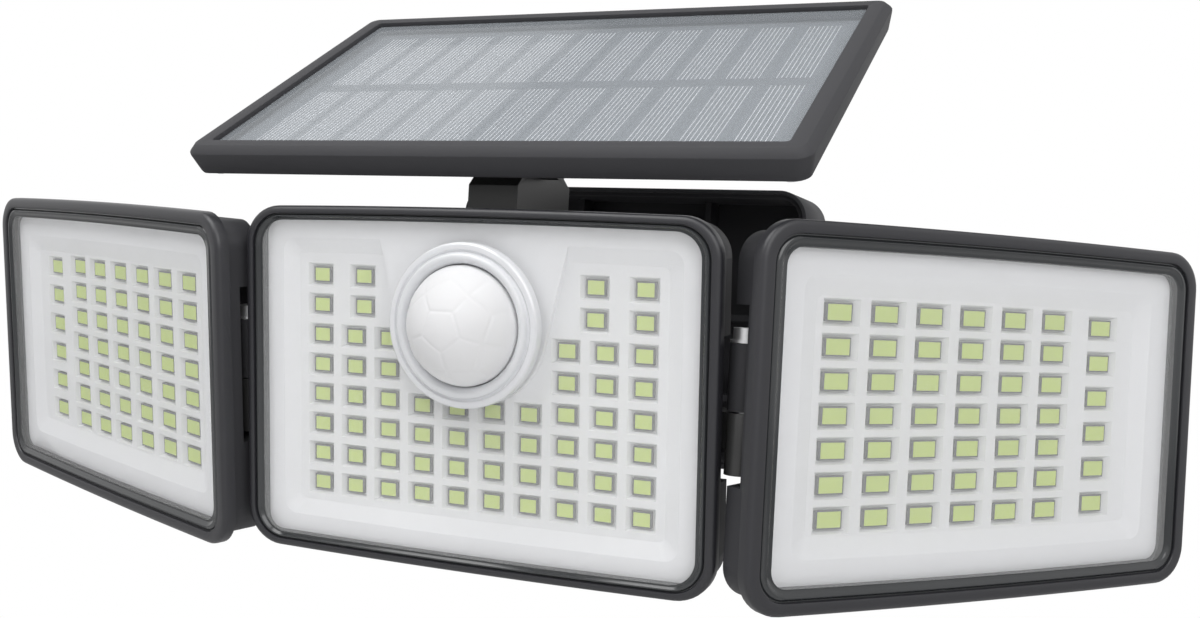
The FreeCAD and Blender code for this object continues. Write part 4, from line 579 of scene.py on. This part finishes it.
@dataclass
class Lamp(Carried):
    """One lamp: rim, clear cover and LED chips, dressed in its own frame."""

    name: str
    body: str
    width: float
    rim_side: float
    rim_top: float
    white_side: float
    white_top: float
    sensor_hole: float = 0.0
    height: float = 78.0
    corner: float = 8.5
    corner_shrink: float = 0.8   # how much of a step in comes off the corner radius
    crown: float = 0.6
    rim_depth: float = 3.0
    cover_front: float = 0.8
    cover_back: float = 2.6
    overlap: float = 0.4
    cover_room: float = 0.1
    bead_height: float = 0.5
    chip_border: float = 0.34
    chip_raise: float = 0.06
    place: Matrix = field(default_factory=Matrix)
    chips: list[Vector] = field(default_factory=list)
    chip_size: Vector = field(default_factory=Vector)

    def measure(self) -> None:
        """Find the lamp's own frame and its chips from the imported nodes."""
        nodes = bpy.data.objects
        solids = islands(nodes[self.name + "_leds"])
        (thick, _), (high, up), (wide, right) = box_axes(solids[0])
        right = right if right.x > 0 else -right
        up = up if up.z > 0 else -up
        back = up.cross(right)
        turn = frame_matrix(right, back, up, Vector((0.0, 0.0, 0.0)))
        rim = [turn.inverted() @ v.co for v in nodes[self.name + "_front_frame"].data.vertices]
        low, top = extent(rim)
        origin = turn @ Vector(((low.x + top.x) / 2, low.y, (low.z + top.z) / 2))
        self.place = frame_matrix(right, back, up, origin)
        self.chips = [middle(solid) for solid in solids]
        self.chip_size = Vector((wide, thick, high))

    def outline(self) -> CrownedOutline:
        """Return the lamp's outline."""
        return CrownedOutline(self.width, self.height, self.crown)

    def ring(self, side: float, top: float, depth: float) -> list[Vector]:
        """Return an outline ring whose corner follows its step from the edge."""
        corner = self.corner - (side + top) / 2 * self.corner_shrink
        return self.outline().ring(side, top, corner, depth)

    def make_rim(self) -> bpy.types.Object:
        """Front frame: soft outer edge, flat face, and a small inner lip round the cover."""
        seat = (self.rim_side - self.overlap, self.rim_top - self.overlap)
        section = [(0.0, 0.0, self.rim_depth),
                   *((step, step, depth) for step, depth in RIM_EDGE),
                   *((self.rim_side - step, self.rim_top - step, depth)
                     for step, depth in RIM_LIP),
                   (self.rim_side, self.rim_top, self.cover_front),
                   (*seat, self.cover_front), (*seat, self.rim_depth)]
        maker = MeshMaker()
        maker.loft([self.ring(*row) for row in section], closed=True)
        piece = maker.make(self.name + "_rim", self.place, [Finish.RIM])
        return self.settle(piece, "rim_black", self.name + "_front_frame")

    def make_cover(self) -> bpy.types.Object:
        """Clear front cover: a raised bead along its edge, painted opaque grey for the light that
        the clear edge refracts, and a flat pane.
        """
        front = self.cover_front
        edge = self.overlap - self.cover_room
        rings = [self.ring(self.rim_side - edge, self.rim_top - edge, depth)
                 for depth in (self.cover_back, front)]
        for share, bead in COVER_BEAD:
            side = self.rim_side + share * (self.white_side - self.rim_side)
            top = self.rim_top + share * (self.white_top - self.rim_top)
            rings.append(self.ring(side, top, front - bead * self.bead_height))
        maker = MeshMaker()
        # the cover's side and edge bead all take the painted grey of refracted light; only the
        # flat panes stay clear
        numbers = maker.loft(rings, closed=False, paint=lambda k: 1)
        last = numbers[-1]
        first = numbers[0]
        if self.sensor_hole:
            rise = self.sensor_rise()
            holes = []
            for depth in (front, self.cover_back):
                angles = [math.atan2(maker.corners[n].z - rise, maker.corners[n].x) for n in last]
                holes.append(maker.ring(Vector((self.sensor_hole * math.cos(a), depth,
                                                rise + self.sensor_hole * math.sin(a)))
                                        for a in angles))
            maker.bridge(last, holes[0])
            maker.bridge(holes[0], holes[1])
            maker.bridge(holes[1], first)
        else:
            maker.cap(last)
            maker.cap(first)
        piece = maker.make(self.name + "_cover", self.place, [Finish.COVER, Finish.COVER_EDGE_PAINTED_LIGHT])
        return self.settle(piece, "clear_cover", self.name + "_lens")

    def sensor_rise(self) -> float:
        """Height of the sensor's axis above the lamp's middle."""
        ring = bpy.data.objects["sensor_ring"]
        spots = [self.place.inverted() @ v.co for v in ring.data.vertices]
        return (min(p.z for p in spots) + max(p.z for p in spots)) / 2 / MM

    def make_chips(self) -> bpy.types.Object:
        """LED chips: a dark body with a raised phosphor field, repeated by a node tree."""
        piece = ChipField(self).make()
        return self.settle(piece, "led_phosphor", self.name + "_leds")

    def make(self) -> None:
        """Build and report every piece of the lamp."""
        self.measure()
        report(self.make_rim(), self.make_cover(), self.make_chips())


class Repeater:
    """A geometry node tree with named inputs that is turned into a plain mesh."""

    def __init__(self, name: str) -> None:
        """Start an empty tree with a geometry input and output.

        Args:
            name: the piece's name.
        """
        self.name = name
        self.tree = bpy.data.node_groups.new(name + "_tree", "GeometryNodeTree")
        self.graph = Graph(self.tree)
        self.values: dict[str, Any] = {}
        self.tree.interface.new_socket("Geometry", in_out="INPUT",
                                       socket_type="NodeSocketGeometry")
        self.tree.interface.new_socket("Geometry", in_out="OUTPUT",
                                       socket_type="NodeSocketGeometry")
        self.entry = self.tree.nodes.new("NodeGroupInput")

    def size(self, label: str, value: Any) -> Link:
        """Add a named input and return its link.

        Args:
            label: the input's name.
            value: a number, a whole number or a vector.

        Returns:
            The input's link.
        """
        kinds = {float: "NodeSocketFloat", int: "NodeSocketInt"}
        kind = kinds.get(type(value), "NodeSocketVector")
        socket = self.tree.interface.new_socket(label, in_out="INPUT", socket_type=kind)
        self.values[socket.identifier] = value
        return Link(self.graph, self.entry.outputs[label])

    def points(self) -> Link:
        """Return the incoming points."""
        return Link(self.graph, self.entry.outputs["Geometry"])

    def block(self, size: Link, finish: Finish, shift: Link | None = None) -> Link:
        """Return a box of one finish, moved by shift."""
        made = self.graph.node("GeometryNodeMeshCube", {}, {"Size": size}, "Mesh")
        if shift is not None:
            made = self.graph.node("GeometryNodeTransform", {}, {
                "Geometry": made, "Translation": shift}, "Geometry")
        return self.graph.node("GeometryNodeSetMaterial", {}, {
            "Geometry": made, "Material": finish.material()}, "Geometry")

    def join(self, *parts: Link) -> Link:
        """Join geometries."""
        joiner = self.tree.nodes.new("GeometryNodeJoinGeometry")
        for part in parts:
            self.tree.links.new(part.socket, joiner.inputs[0])
        return Link(self.graph, joiner.outputs[0])

    def spread(self, points: Link, instance: Link, **inputs: Any) -> Link:
        """Put an instance on every point."""
        return self.graph.node("GeometryNodeInstanceOnPoints", {}, {
            "Points": points, "Instance": instance, **inputs}, "Instances")

    def line(self, count: Link, offset: Link) -> Link:
        """Return a row of points from the origin."""
        return self.graph.node("GeometryNodeMeshLine", {"mode": "OFFSET"}, {
            "Count": count, "Offset": offset}, "Mesh")

    def finish(self, result: Link, spots: Sequence[Vector]) -> bpy.types.Object:
        """Realize the tree on a mesh of points and return the plain mesh object.

        Args:
            result: the geometry that goes out.
            spots: corners of the mesh that goes in, in metres.

        Returns:
            The new object, with no modifier.
        """
        real = self.graph.node("GeometryNodeRealizeInstances", {}, {"Geometry": result},
                               "Geometry")
        exit_node = self.tree.nodes.new("NodeGroupOutput")
        self.tree.links.new(real.socket, exit_node.inputs["Geometry"])
        seed_mesh = bpy.data.meshes.new(self.name + "_points")
        seed_mesh.from_pydata([tuple(spot) for spot in spots], [], [])
        seed = put(self.name + "_seed", seed_mesh)
        modifier = seed.modifiers.new("repeat", "NODES")
        modifier.node_group = self.tree
        for identifier, value in self.values.items():
            modifier[identifier] = tuple(value) if isinstance(value, (Vector, Euler)) else value
        graph = bpy.context.evaluated_depsgraph_get()
        mesh = bpy.data.meshes.new_from_object(seed.evaluated_get(graph))
        mesh.name = self.name
        made = put(self.name, mesh)
        bpy.data.objects.remove(seed)
        return made


@dataclass
class ChipField:
    """All LED chips of one lamp."""

    lamp: Lamp

    def make(self) -> bpy.types.Object:
        """Return the chips as one plain mesh."""
        lamp = self.lamp
        size = lamp.chip_size
        border = lamp.chip_border * MM
        front = lamp.chip_raise * MM
        repeat = Repeater(lamp.name + "_led_chips")
        body = repeat.size("Body Size", Vector((size.x, size.y, size.z)))
        field_size = repeat.size("Field Size", Vector((size.x - 2 * border, size.y,
                                                       size.z - 2 * border)))
        shift = repeat.size("Field Shift", Vector((0.0, -front, 0.0)))
        turn = repeat.size("Turn", lamp.place.to_euler())
        chip = repeat.join(repeat.block(body, Finish.CHIP_BODY),
                           repeat.block(field_size, Finish.PHOSPHOR, shift))
        result = repeat.spread(repeat.points(), chip, Rotation=turn)
        return repeat.finish(result, lamp.chips)


# ======== motion sensor
# Bezel section: the white step as (step in from the outer radius, depth), the plated step as
# (radius, depth), and the throat's lip as (step out from the throat, depth).
BEZEL_WHITE = ((0.0, -0.7), (0.14, -1.15), (0.5, -1.45), (1.1, -1.55))
BEZEL_PLATED = ((16.1, -1.5), (15.85, -1.2), (15.6, -1.15), (15.4, -1.35), (15.3, -1.9),
                (15.1, -2.2), (14.75, -2.38), (14.3, -2.4), (13.9, -2.2), (13.5, -1.7))
BEZEL_LIP = ((0.12, -1.1), (0.0, -0.4))
PLATED_STRIPS = range(8, 16)
# Rings of lens facets round the one in front: lean, how many, and the first one's angle.
FACET_RINGS = ((33.0, 5, 18.0), (58.0, 10, 0.0), (82.0, 15, 12.0))


@dataclass
class Sensor:
    """Bezel and Fresnel dome of the motion sensor, in the centre lamp's frame."""

    lamp: Lamp
    throat: float = 13.0
    outer: float = 17.6
    lens_hole: float = 15.7
    sleeve: float = 14.5
    sleeve_back: float = 7.4
    dome_radius: float = 12.9
    dome_height: float = 9.6
    dome_foot: float = -1.2
    turns: int = 160
    dome_rings: int = 84
    groove_depth: float = 0.10
    groove_width: float = 0.020
    bulge: float = 0.10
    bulge_reach: float = 0.25
    plain_rings: int = 6

    def make_bezel(self) -> bpy.types.Object:
        """Two-step ring: a white outer step and a plated inner step."""
        rise = self.lamp.sensor_rise()
        front, back = self.lamp.cover_front, self.lamp.cover_back
        section = [(self.outer, front),
                   *((self.outer - step, depth) for step, depth in BEZEL_WHITE),
                   *BEZEL_PLATED,
                   *((self.throat + step, depth) for step, depth in BEZEL_LIP),
                   (self.throat, self.sleeve_back), (self.sleeve, self.sleeve_back),
                   (self.sleeve, back), (self.lens_hole, back), (self.lens_hole, front)]
        maker = MeshMaker()
        maker.loft([circle(radius, rise, depth, self.turns) for radius, depth in section],
                   closed=True, paint=lambda k: int(k in PLATED_STRIPS))
        piece = maker.make("sensor_bezel", self.lamp.place,
                           [Finish.RING_WHITE, Finish.RING_SILVER], sharp=30.0)
        return self.lamp.settle(piece, "ring_silver", "sensor_ring")

    def facets(self) -> list[Vector]:
        """Directions of the dome's lens facets: one in front, then rings round it."""
        found = [Vector((0.0, -1.0, 0.0))]
        for tilt, count, start in FACET_RINGS:
            for k in range(count):
                angle = math.radians(start + 360.0 * k / count)
                lean = math.radians(tilt)
                found.append(Vector((math.sin(lean) * math.cos(angle), -math.cos(lean),
                                     math.sin(lean) * math.sin(angle))))
        return found

    def relief(self, direction: Vector, facets: Sequence[Vector]) -> float:
        """Height of the dome's surface over its sphere in a direction, in millimetres."""
        angles = sorted(direction.angle(facet) for facet in facets)
        edge = (angles[1] - angles[0]) / 2
        groove = math.exp(-(edge / self.groove_width) ** 2)
        return self.bulge * min(1.0, edge / self.bulge_reach) - self.groove_depth * groove

    def make_dome(self) -> bpy.types.Object:
        """Milky dome with shallow lens facets, and its foot behind the bezel."""
        rise = self.lamp.sensor_rise()
        ball = (self.dome_radius ** 2 + self.dome_height ** 2) / (2 * self.dome_height)
        centre = self.dome_foot - self.dome_height + ball
        widest = math.asin(self.dome_radius / ball)
        facets = self.facets()
        rings = []
        for k in range(1, self.dome_rings + 1):
            lean = widest * k / self.dome_rings
            fade = min(1.0, (self.dome_rings - k) / self.plain_rings)
            points = []
            for step in range(self.turns):
                angle = math.tau * step / self.turns
                direction = Vector((math.sin(lean) * math.cos(angle), -math.cos(lean),
                                    math.sin(lean) * math.sin(angle)))
                reach = ball - self.bulge + self.relief(direction, facets) * fade
                points.append(Vector((0.0, centre, rise)) + direction * reach)
            rings.append(points)
        rings.append(circle(self.dome_radius - self.bulge, rise, self.sleeve_back, self.turns))
        maker = MeshMaker()
        numbers = maker.loft(rings, closed=False)
        reach = ball - self.bulge + self.relief(Vector((0.0, -1.0, 0.0)), facets)
        tip = maker.ring([Vector((0.0, centre - reach, rise))])[0]
        first = numbers[0]
        for k, corner in enumerate(first):
            maker.faces.append((tip, first[(k + 1) % len(first)], corner))
            maker.paints.append(0)
        maker.cap(numbers[-1])
        piece = maker.make("fresnel_dome", self.lamp.place, [Finish.DOME], sharp=50.0)
        return self.lamp.settle(piece, "dome_white", "sensor_dome")

    def make(self) -> None:
        """Build and report the sensor's pieces."""
        report(self.make_bezel(), self.make_dome())


# ======== solar panel
@dataclass
class SolarPanel(Carried):
    """Frame, cells and grid lines of the solar panel, in the panel's own frame."""

    body: str = "solar_panel"
    width: float = 145.8
    depth: float = 88.6
    thickness: float = 7.2
    corner: float = 3.5
    side_border: float = 5.2
    end_border: float = 4.6
    glass_top: float = 1.2
    glass_back: float = 3.6
    seat: float = 3.2
    groups: int = 11
    lines: int = 8
    line_width: float = 0.15
    line_pitch: float = 1.06
    group_pitch: float = 11.6
    row_gap: float = 4.6
    row_length: float = 33.4
    line_thick: float = 0.04
    cell_gap: float = 0.35
    cell_sunk: float = 0.1
    cell_rise: float = 0.04
    sheet_inset: float = 5.4
    sheet_corner: float = 0.5
    sheet_thick: float = 0.3
    sheet_gap: float = 0.05
    place: Matrix = field(default_factory=Matrix)

    def measure(self) -> None:
        """Find the panel's own frame from its cells and its frame."""
        nodes = bpy.data.objects
        cell = islands(nodes["solar_cells"])[0]
        (_, up), (_, right), (_, slope) = box_axes(cell)
        right = right if right.x > 0 else -right
        up = up if up.z > 0 else -up
        slope = up.cross(right)
        turn = frame_matrix(right, slope, up, Vector((0.0, 0.0, 0.0)))
        spots = [turn.inverted() @ v.co for v in nodes["panel_frame"].data.vertices]
        low, top = extent(spots)
        origin = turn @ Vector(((low.x + top.x) / 2, (low.y + top.y) / 2, top.z))
        self.place = frame_matrix(right, slope, up, origin)

    def ring(self, side: float, end: float, corner: float, height: float) -> list[Vector]:
        """Rounded rectangle at a height in the panel's own frame."""
        flat = CrownedOutline(self.width, self.depth, crown=0.0, per_corner=6, per_edge=4)
        return [Vector((p.x, p.z, height)) for p in flat.ring(side, end, corner, 0.0)]

    def make_frame(self) -> bpy.types.Object:
        """Moulded frame: flat border, chamfer, leaning wall and glass seat."""
        low = -self.thickness
        section = [(self.side_border, self.end_border, 0.8, -self.glass_top),
                   (self.side_border, self.end_border, 0.8, -0.35),
                   (self.side_border - 0.12, self.end_border - 0.12, 0.9, -0.1),
                   (self.side_border - 0.4, self.end_border - 0.4, 1.1, 0.0),
                   (1.75, 1.75, 2.2, 0.0), (1.45, 1.45, 2.5, -0.1), (0.22, 0.22, 3.3, -1.4),
                   (0.0, 0.0, 3.5, -1.75), (0.02, 0.02, 3.5, -2.4),
                   (0.95, 0.95, 3.2, low + 0.75), (1.2, 1.2, 3.0, low + 0.25),
                   (1.7, 1.7, 2.6, low), (self.seat, self.seat, 1.5, low),
                   (self.seat, self.seat, 1.5, -self.glass_top)]
        maker = MeshMaker()
        maker.loft([self.ring(*row) for row in section], closed=True)
        piece = maker.make("panel_rim", self.place, [Finish.HOUSING], sharp=32.0)
        return self.settle(piece, "housing_black", "panel_frame")

    def make_cells(self) -> bpy.types.Object:
        """Dark back sheet with one raised strip per cell."""
        maker = MeshMaker()
        sheet_top = -self.glass_back - self.sheet_gap
        sheet = [self.ring(self.sheet_inset, self.sheet_inset, self.sheet_corner, height)
                 for height in (sheet_top - self.sheet_thick, sheet_top)]
        numbers = maker.loft(sheet, closed=False, paint=lambda k: 1)
        maker.cap(numbers[0], 1)
        maker.cap(numbers[1], 1)
        half = self.group_pitch / 2 - self.cell_gap
        for group in range(self.groups):
            x = (group - (self.groups - 1) / 2) * self.group_pitch
            for sign in (-1, 1):
                near = sign * self.row_gap / 2
                far = sign * (self.row_gap / 2 + self.row_length)
                y0, y1 = sorted((near, far))
                rings = [[Vector((x - half, y0, z)), Vector((x + half, y0, z)),
                          Vector((x + half, y1, z)), Vector((x - half, y1, z))]
                         for z in (sheet_top - self.cell_sunk, sheet_top + self.cell_rise)]
                walls = maker.loft(rings, closed=False)
                maker.cap(walls[0])
                maker.cap(walls[1])
        piece = maker.make("panel_cells", self.place, [Finish.CELL, Finish.BACK_SHEET])
        return self.settle(piece, "solar_cell", "solar_cells")

    def make_grid(self) -> bpy.types.Object:
        """Thin silver lines over the cells, repeated by a node tree."""
        repeat = Repeater("panel_grid_lines")
        strip = repeat.size("Strip Size", Vector((
            self.line_width, self.row_length, self.line_thick)) * MM)
        lines = repeat.size("Lines", self.lines)
        groups = repeat.size("Groups", self.groups)
        rows = repeat.size("Rows", 2)
        pitch = repeat.size("Line Pitch", Vector((self.line_pitch, 0.0, 0.0)) * MM)
        step = repeat.size("Group Pitch", Vector((self.group_pitch, 0.0, 0.0)) * MM)
        row_pitch = self.row_gap + self.row_length
        row_step = repeat.size("Row Pitch", Vector((0.0, row_pitch, 0.0)) * MM)
        corner = Vector((
            -(self.groups - 1) / 2 * self.group_pitch - (self.lines - 1) / 2 * self.line_pitch,
            -row_pitch / 2, -self.glass_back)) * MM
        start = repeat.size("Start", self.place @ corner)
        turn = repeat.size("Turn", self.place.to_euler())
        group = repeat.spread(repeat.line(lines, pitch), repeat.block(strip, Finish.GRID))
        row = repeat.spread(repeat.line(groups, step), group)
        both = repeat.spread(repeat.line(rows, row_step), row)
        placed = repeat.graph.node("GeometryNodeTransform", {}, {
            "Geometry": both, "Translation": start, "Rotation": turn}, "Geometry")
        piece = repeat.finish(placed, [Vector((0.0, 0.0, 0.0))])
        return self.settle(piece, "solar_cell")

    def make(self) -> None:
        """Build and report every piece of the panel."""
        self.measure()
        report(self.make_frame(), self.make_cells(), self.make_grid())


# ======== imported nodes
@dataclass(frozen=True)
class Dresser:
    """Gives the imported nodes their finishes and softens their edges."""

    soften_width: float = 0.22
    soften_angle: float = 14.0
    soften_segments: int = 2
    softened: tuple[str, ...] = ("reflector", "housing", "bracket", "post", "cover", "arm")

    def finish_of(self, node: str) -> Finish:
        """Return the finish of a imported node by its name."""
        endings = (
            ("lens_gasket", Finish.SEAL), ("cover_seal", Finish.SEAL),
            ("reflector", Finish.REFLECTOR), ("led_board", Finish.BOARD_WHITE),
            ("leds", Finish.PHOSPHOR), ("lens", Finish.COVER), ("front_frame", Finish.RIM),
            ("screws", Finish.STEEL), ("screw", Finish.STEEL), ("bolt", Finish.STEEL),
            ("nut", Finish.STEEL), ("swivel_arm", Finish.HINGE), ("panel_post", Finish.HINGE),
            ("panel_back_cover", Finish.HINGE), ("glass", Finish.GLASS),
            ("solar_cells", Finish.CELL), ("mode_button", Finish.BUTTON),
            ("battery_cell", Finish.SLEEVE), ("pir_sensor", Finish.STEEL),
            ("sensor_ring", Finish.RING_SILVER), ("sensor_dome", Finish.DOME),
            ("board", Finish.BOARD_GREEN), ("switch", Finish.BOARD_GREEN))
        for ending, finish in endings:
            if node.endswith(ending):
                return finish
        return Finish.HOUSING

    def soften(self, node: bpy.types.Object) -> None:
        """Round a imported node's sharp edges a little, without touching its mesh."""
        weld = node.modifiers.new("weld", "WELD")
        weld.merge_threshold = SAME_PACKED_CORNER
        bevel = node.modifiers.new("edges", "BEVEL")
        bevel.width = self.soften_width * MM
        bevel.segments = self.soften_segments
        bevel.limit_method = "ANGLE"
        bevel.angle_limit = math.radians(self.soften_angle)
        bevel.use_clamp_overlap = True
        bevel.harden_normals = True

    def dress(self, nodes: dict[str, bpy.types.Object]) -> None:
        """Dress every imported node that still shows.

        Args:
            nodes: node name to object.
        """
        for name, node in nodes.items():
            finish = self.finish_of(name)
            node.data.materials.clear()
            node.data.materials.append(finish.material())
            if name.endswith(self.softened):
                self.soften(node)
            LOG.info("%s: %s", name, finish.value.name)


# ======== studio
@dataclass(frozen=True)
class Softbox:
    """One square area lamp that looks at the light."""

    name: str
    spot: tuple[float, float, float]
    size: float
    power: float


@dataclass(frozen=True)
class Studio:
    """Camera, lamps, white surroundings and floor."""

    eye: tuple[float, float, float] = (0.130125, -0.354079, 0.003144)
    turn: tuple[float, float, float] = (90.0502, -3.2109, 22.3879)
    focal: float = 39.0
    film: float = 36.0
    near_limit: float = 0.01
    aim: tuple[float, float, float] = (0.0, -0.08, 0.0)
    floor_white: tuple[float, float, float, float] = (0.90, 0.90, 0.90, 1.0)
    floor_sides: int = 96
    floor_height: float = -0.30
    floor_radius: float = 3.0
    fade_start: float = 0.45
    fade_end: float = 0.80
    ambient: float = 0.21
    card_dark: float = 0.03
    card_middle: tuple[float, float, float] = (-0.20, 0.58, 0.78)
    card_reach: float = 0.80     # cosine from the card's middle at which it ends
    card_fade: float = 12.0      # how fast its round end sets in
    card_crisp: float = 60.0     # how fast its straight edge sets in
    card_points: tuple[tuple[float, float], ...] = ((0.001, 0.0436), (-0.0052, -0.0376))
    boxes: tuple[Softbox, ...] = (
        Softbox("key", (-0.45, -0.75, 1.25), 1.1, 15.0),
        Softbox("fill", (1.00, -1.10, 0.90), 1.3, 14.0),
        Softbox("top", (0.1, 0.1, 1.6), 1.2, 5.0))

    def make_camera(self) -> None:
        """Stand the camera where the photograph was taken from."""
        data = bpy.data.cameras.new("camera")
        data.lens = self.focal
        data.sensor_width = self.film
        data.clip_start = self.near_limit
        camera = put("camera", data)
        camera.location = self.eye
        camera.rotation_euler = [math.radians(angle) for angle in self.turn]
        bpy.context.scene.camera = camera

    def make_lamps(self) -> None:
        """Hang the softboxes."""
        for box in self.boxes:
            data = bpy.data.lights.new(box.name, "AREA")
            data.size = box.size
            data.energy = box.power
            lamp = put(box.name, data)
            lamp.location = box.spot
            way = Vector(self.aim) - Vector(box.spot)
            lamp.rotation_euler = way.to_track_quat("-Z", "Y").to_euler()

    def card_edge(self, panel: SolarPanel) -> Vector:
        """Direction square to the dark card's edge, as the panel's glass mirrors it.

        Args:
            panel: the measured panel; two points of it lie on the mirrored edge.

        Returns:
            The direction, of length one.
        """
        normal = panel.place.to_3x3() @ Vector((0.0, 0.0, 1.0))
        mirrored = []
        for x, y in self.card_points:
            ray = (panel.place @ Vector((x, y, 0.0)) - Vector(self.eye)).normalized()
            mirrored.append(ray - 2 * ray.dot(normal) * normal)
        return mirrored[0].cross(mirrored[1]).normalized()

    def make_world(self, panel: SolarPanel) -> None:
        """White surroundings with one dark card over and behind the light, seen by mirrors only.

        Args:
            panel: the measured panel, whose glass mirrors the card's edge.
        """
        world = bpy.data.worlds.new("surroundings")
        bpy.context.scene.world = world
        world.use_nodes = True
        graph = Graph(world.node_tree)
        paths = {name: graph.node("ShaderNodeLightPath", {}, {}, f"Is {name} Ray")
                 for name in ("Camera", "Glossy", "Transmission")}
        seen = (paths["Camera"] + paths["Glossy"] + paths["Transmission"]).clamp()
        way = graph.node("ShaderNodeTexCoord", {}, {}, "Generated")
        edge = self.card_edge(panel)
        side = graph.node("ShaderNodeVectorMath", {"operation": "DOT_PRODUCT"}, {
            0: way, 1: edge}, "Value")
        near = graph.node("ShaderNodeVectorMath", {"operation": "DOT_PRODUCT"}, {
            0: way, 1: Vector(self.card_middle).normalized()}, "Value")
        card = (side * self.card_crisp + 0.5).clamp() * (
            (near - self.card_reach) * self.card_fade).clamp() * paths["Glossy"]
        strength = (seen * (1.0 - self.ambient) + self.ambient) * (
            1.0 - card * (1.0 - self.card_dark))
        light = graph.node("ShaderNodeBackground", {}, {
            "Color": WHITE, "Strength": strength})
        graph.node("ShaderNodeOutputWorld", {}, {"Surface": light})

    def make_floor(self) -> None:
        """Pale round floor that fades into the white surroundings."""
        mesh = bpy.data.meshes.new("floor")
        shell = bmesh.new()
        bmesh.ops.create_circle(shell, cap_ends=True, segments=self.floor_sides,
                                radius=self.floor_radius)
        bmesh.ops.translate(shell, verts=shell.verts, vec=(0.0, 0.0, self.floor_height))
        shell.to_mesh(mesh)
        shell.free()
        material, graph = new_material("floor_white")
        where = graph.node("ShaderNodeTexCoord", {}, {}, "Object")
        flat = graph.node("ShaderNodeVectorMath", {"operation": "MULTIPLY"}, {
            0: where, 1: (1.0, 1.0, 0.0)})
        distance = graph.node("ShaderNodeVectorMath", {"operation": "LENGTH"}, {0: flat}, "Value")
        span = self.fade_end - self.fade_start
        fade = ((distance - self.fade_start) * (1.0 / span)).clamp()
        seen = graph.node("ShaderNodeLightPath", {}, {}, "Is Camera Ray")
        paint = graph.node("ShaderNodeBsdfDiffuse", {}, {"Color": self.floor_white})
        glow = graph.node("ShaderNodeEmission", {}, {"Color": WHITE, "Strength": 1.0})
        mixed = graph.node("ShaderNodeMixShader", {}, {0: fade * seen, 1: paint, 2: glow})
        graph.node("ShaderNodeOutputMaterial", {}, {"Surface": mixed})
        mesh.materials.append(material)
        floor = put("floor", mesh)

    def make(self, panel: SolarPanel) -> None:
        """Set up the whole studio.

        Args:
            panel: the measured panel.
        """
        bpy.context.scene.view_settings.view_transform = "Standard"
        self.make_camera()
        self.make_lamps()
        self.make_world(panel)
        self.make_floor()


def main() -> None:
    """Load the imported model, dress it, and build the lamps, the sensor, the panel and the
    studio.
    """
    logging.basicConfig(level=logging.INFO, format="%(name)s: %(message)s")
    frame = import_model()
    Dresser().dress(frame["nodes"])
    centre = Lamp("centre", "centre_lamp", width=112.0, rim_side=2.1, rim_top=1.7,
                  white_side=4.3, white_top=3.2, sensor_hole=15.8)
    sides = [Lamp(side, side + "_lamp", width=125.0, rim_side=3.2, rim_top=2.8,
                  white_side=6.4, white_top=5.4) for side in ("left", "right")]
    for lamp in (centre, *sides):
        lamp.make()
    Sensor(centre).make()
    panel = SolarPanel()
    panel.make()
    Studio().make(panel)


if __name__ == "__main__":
    main()
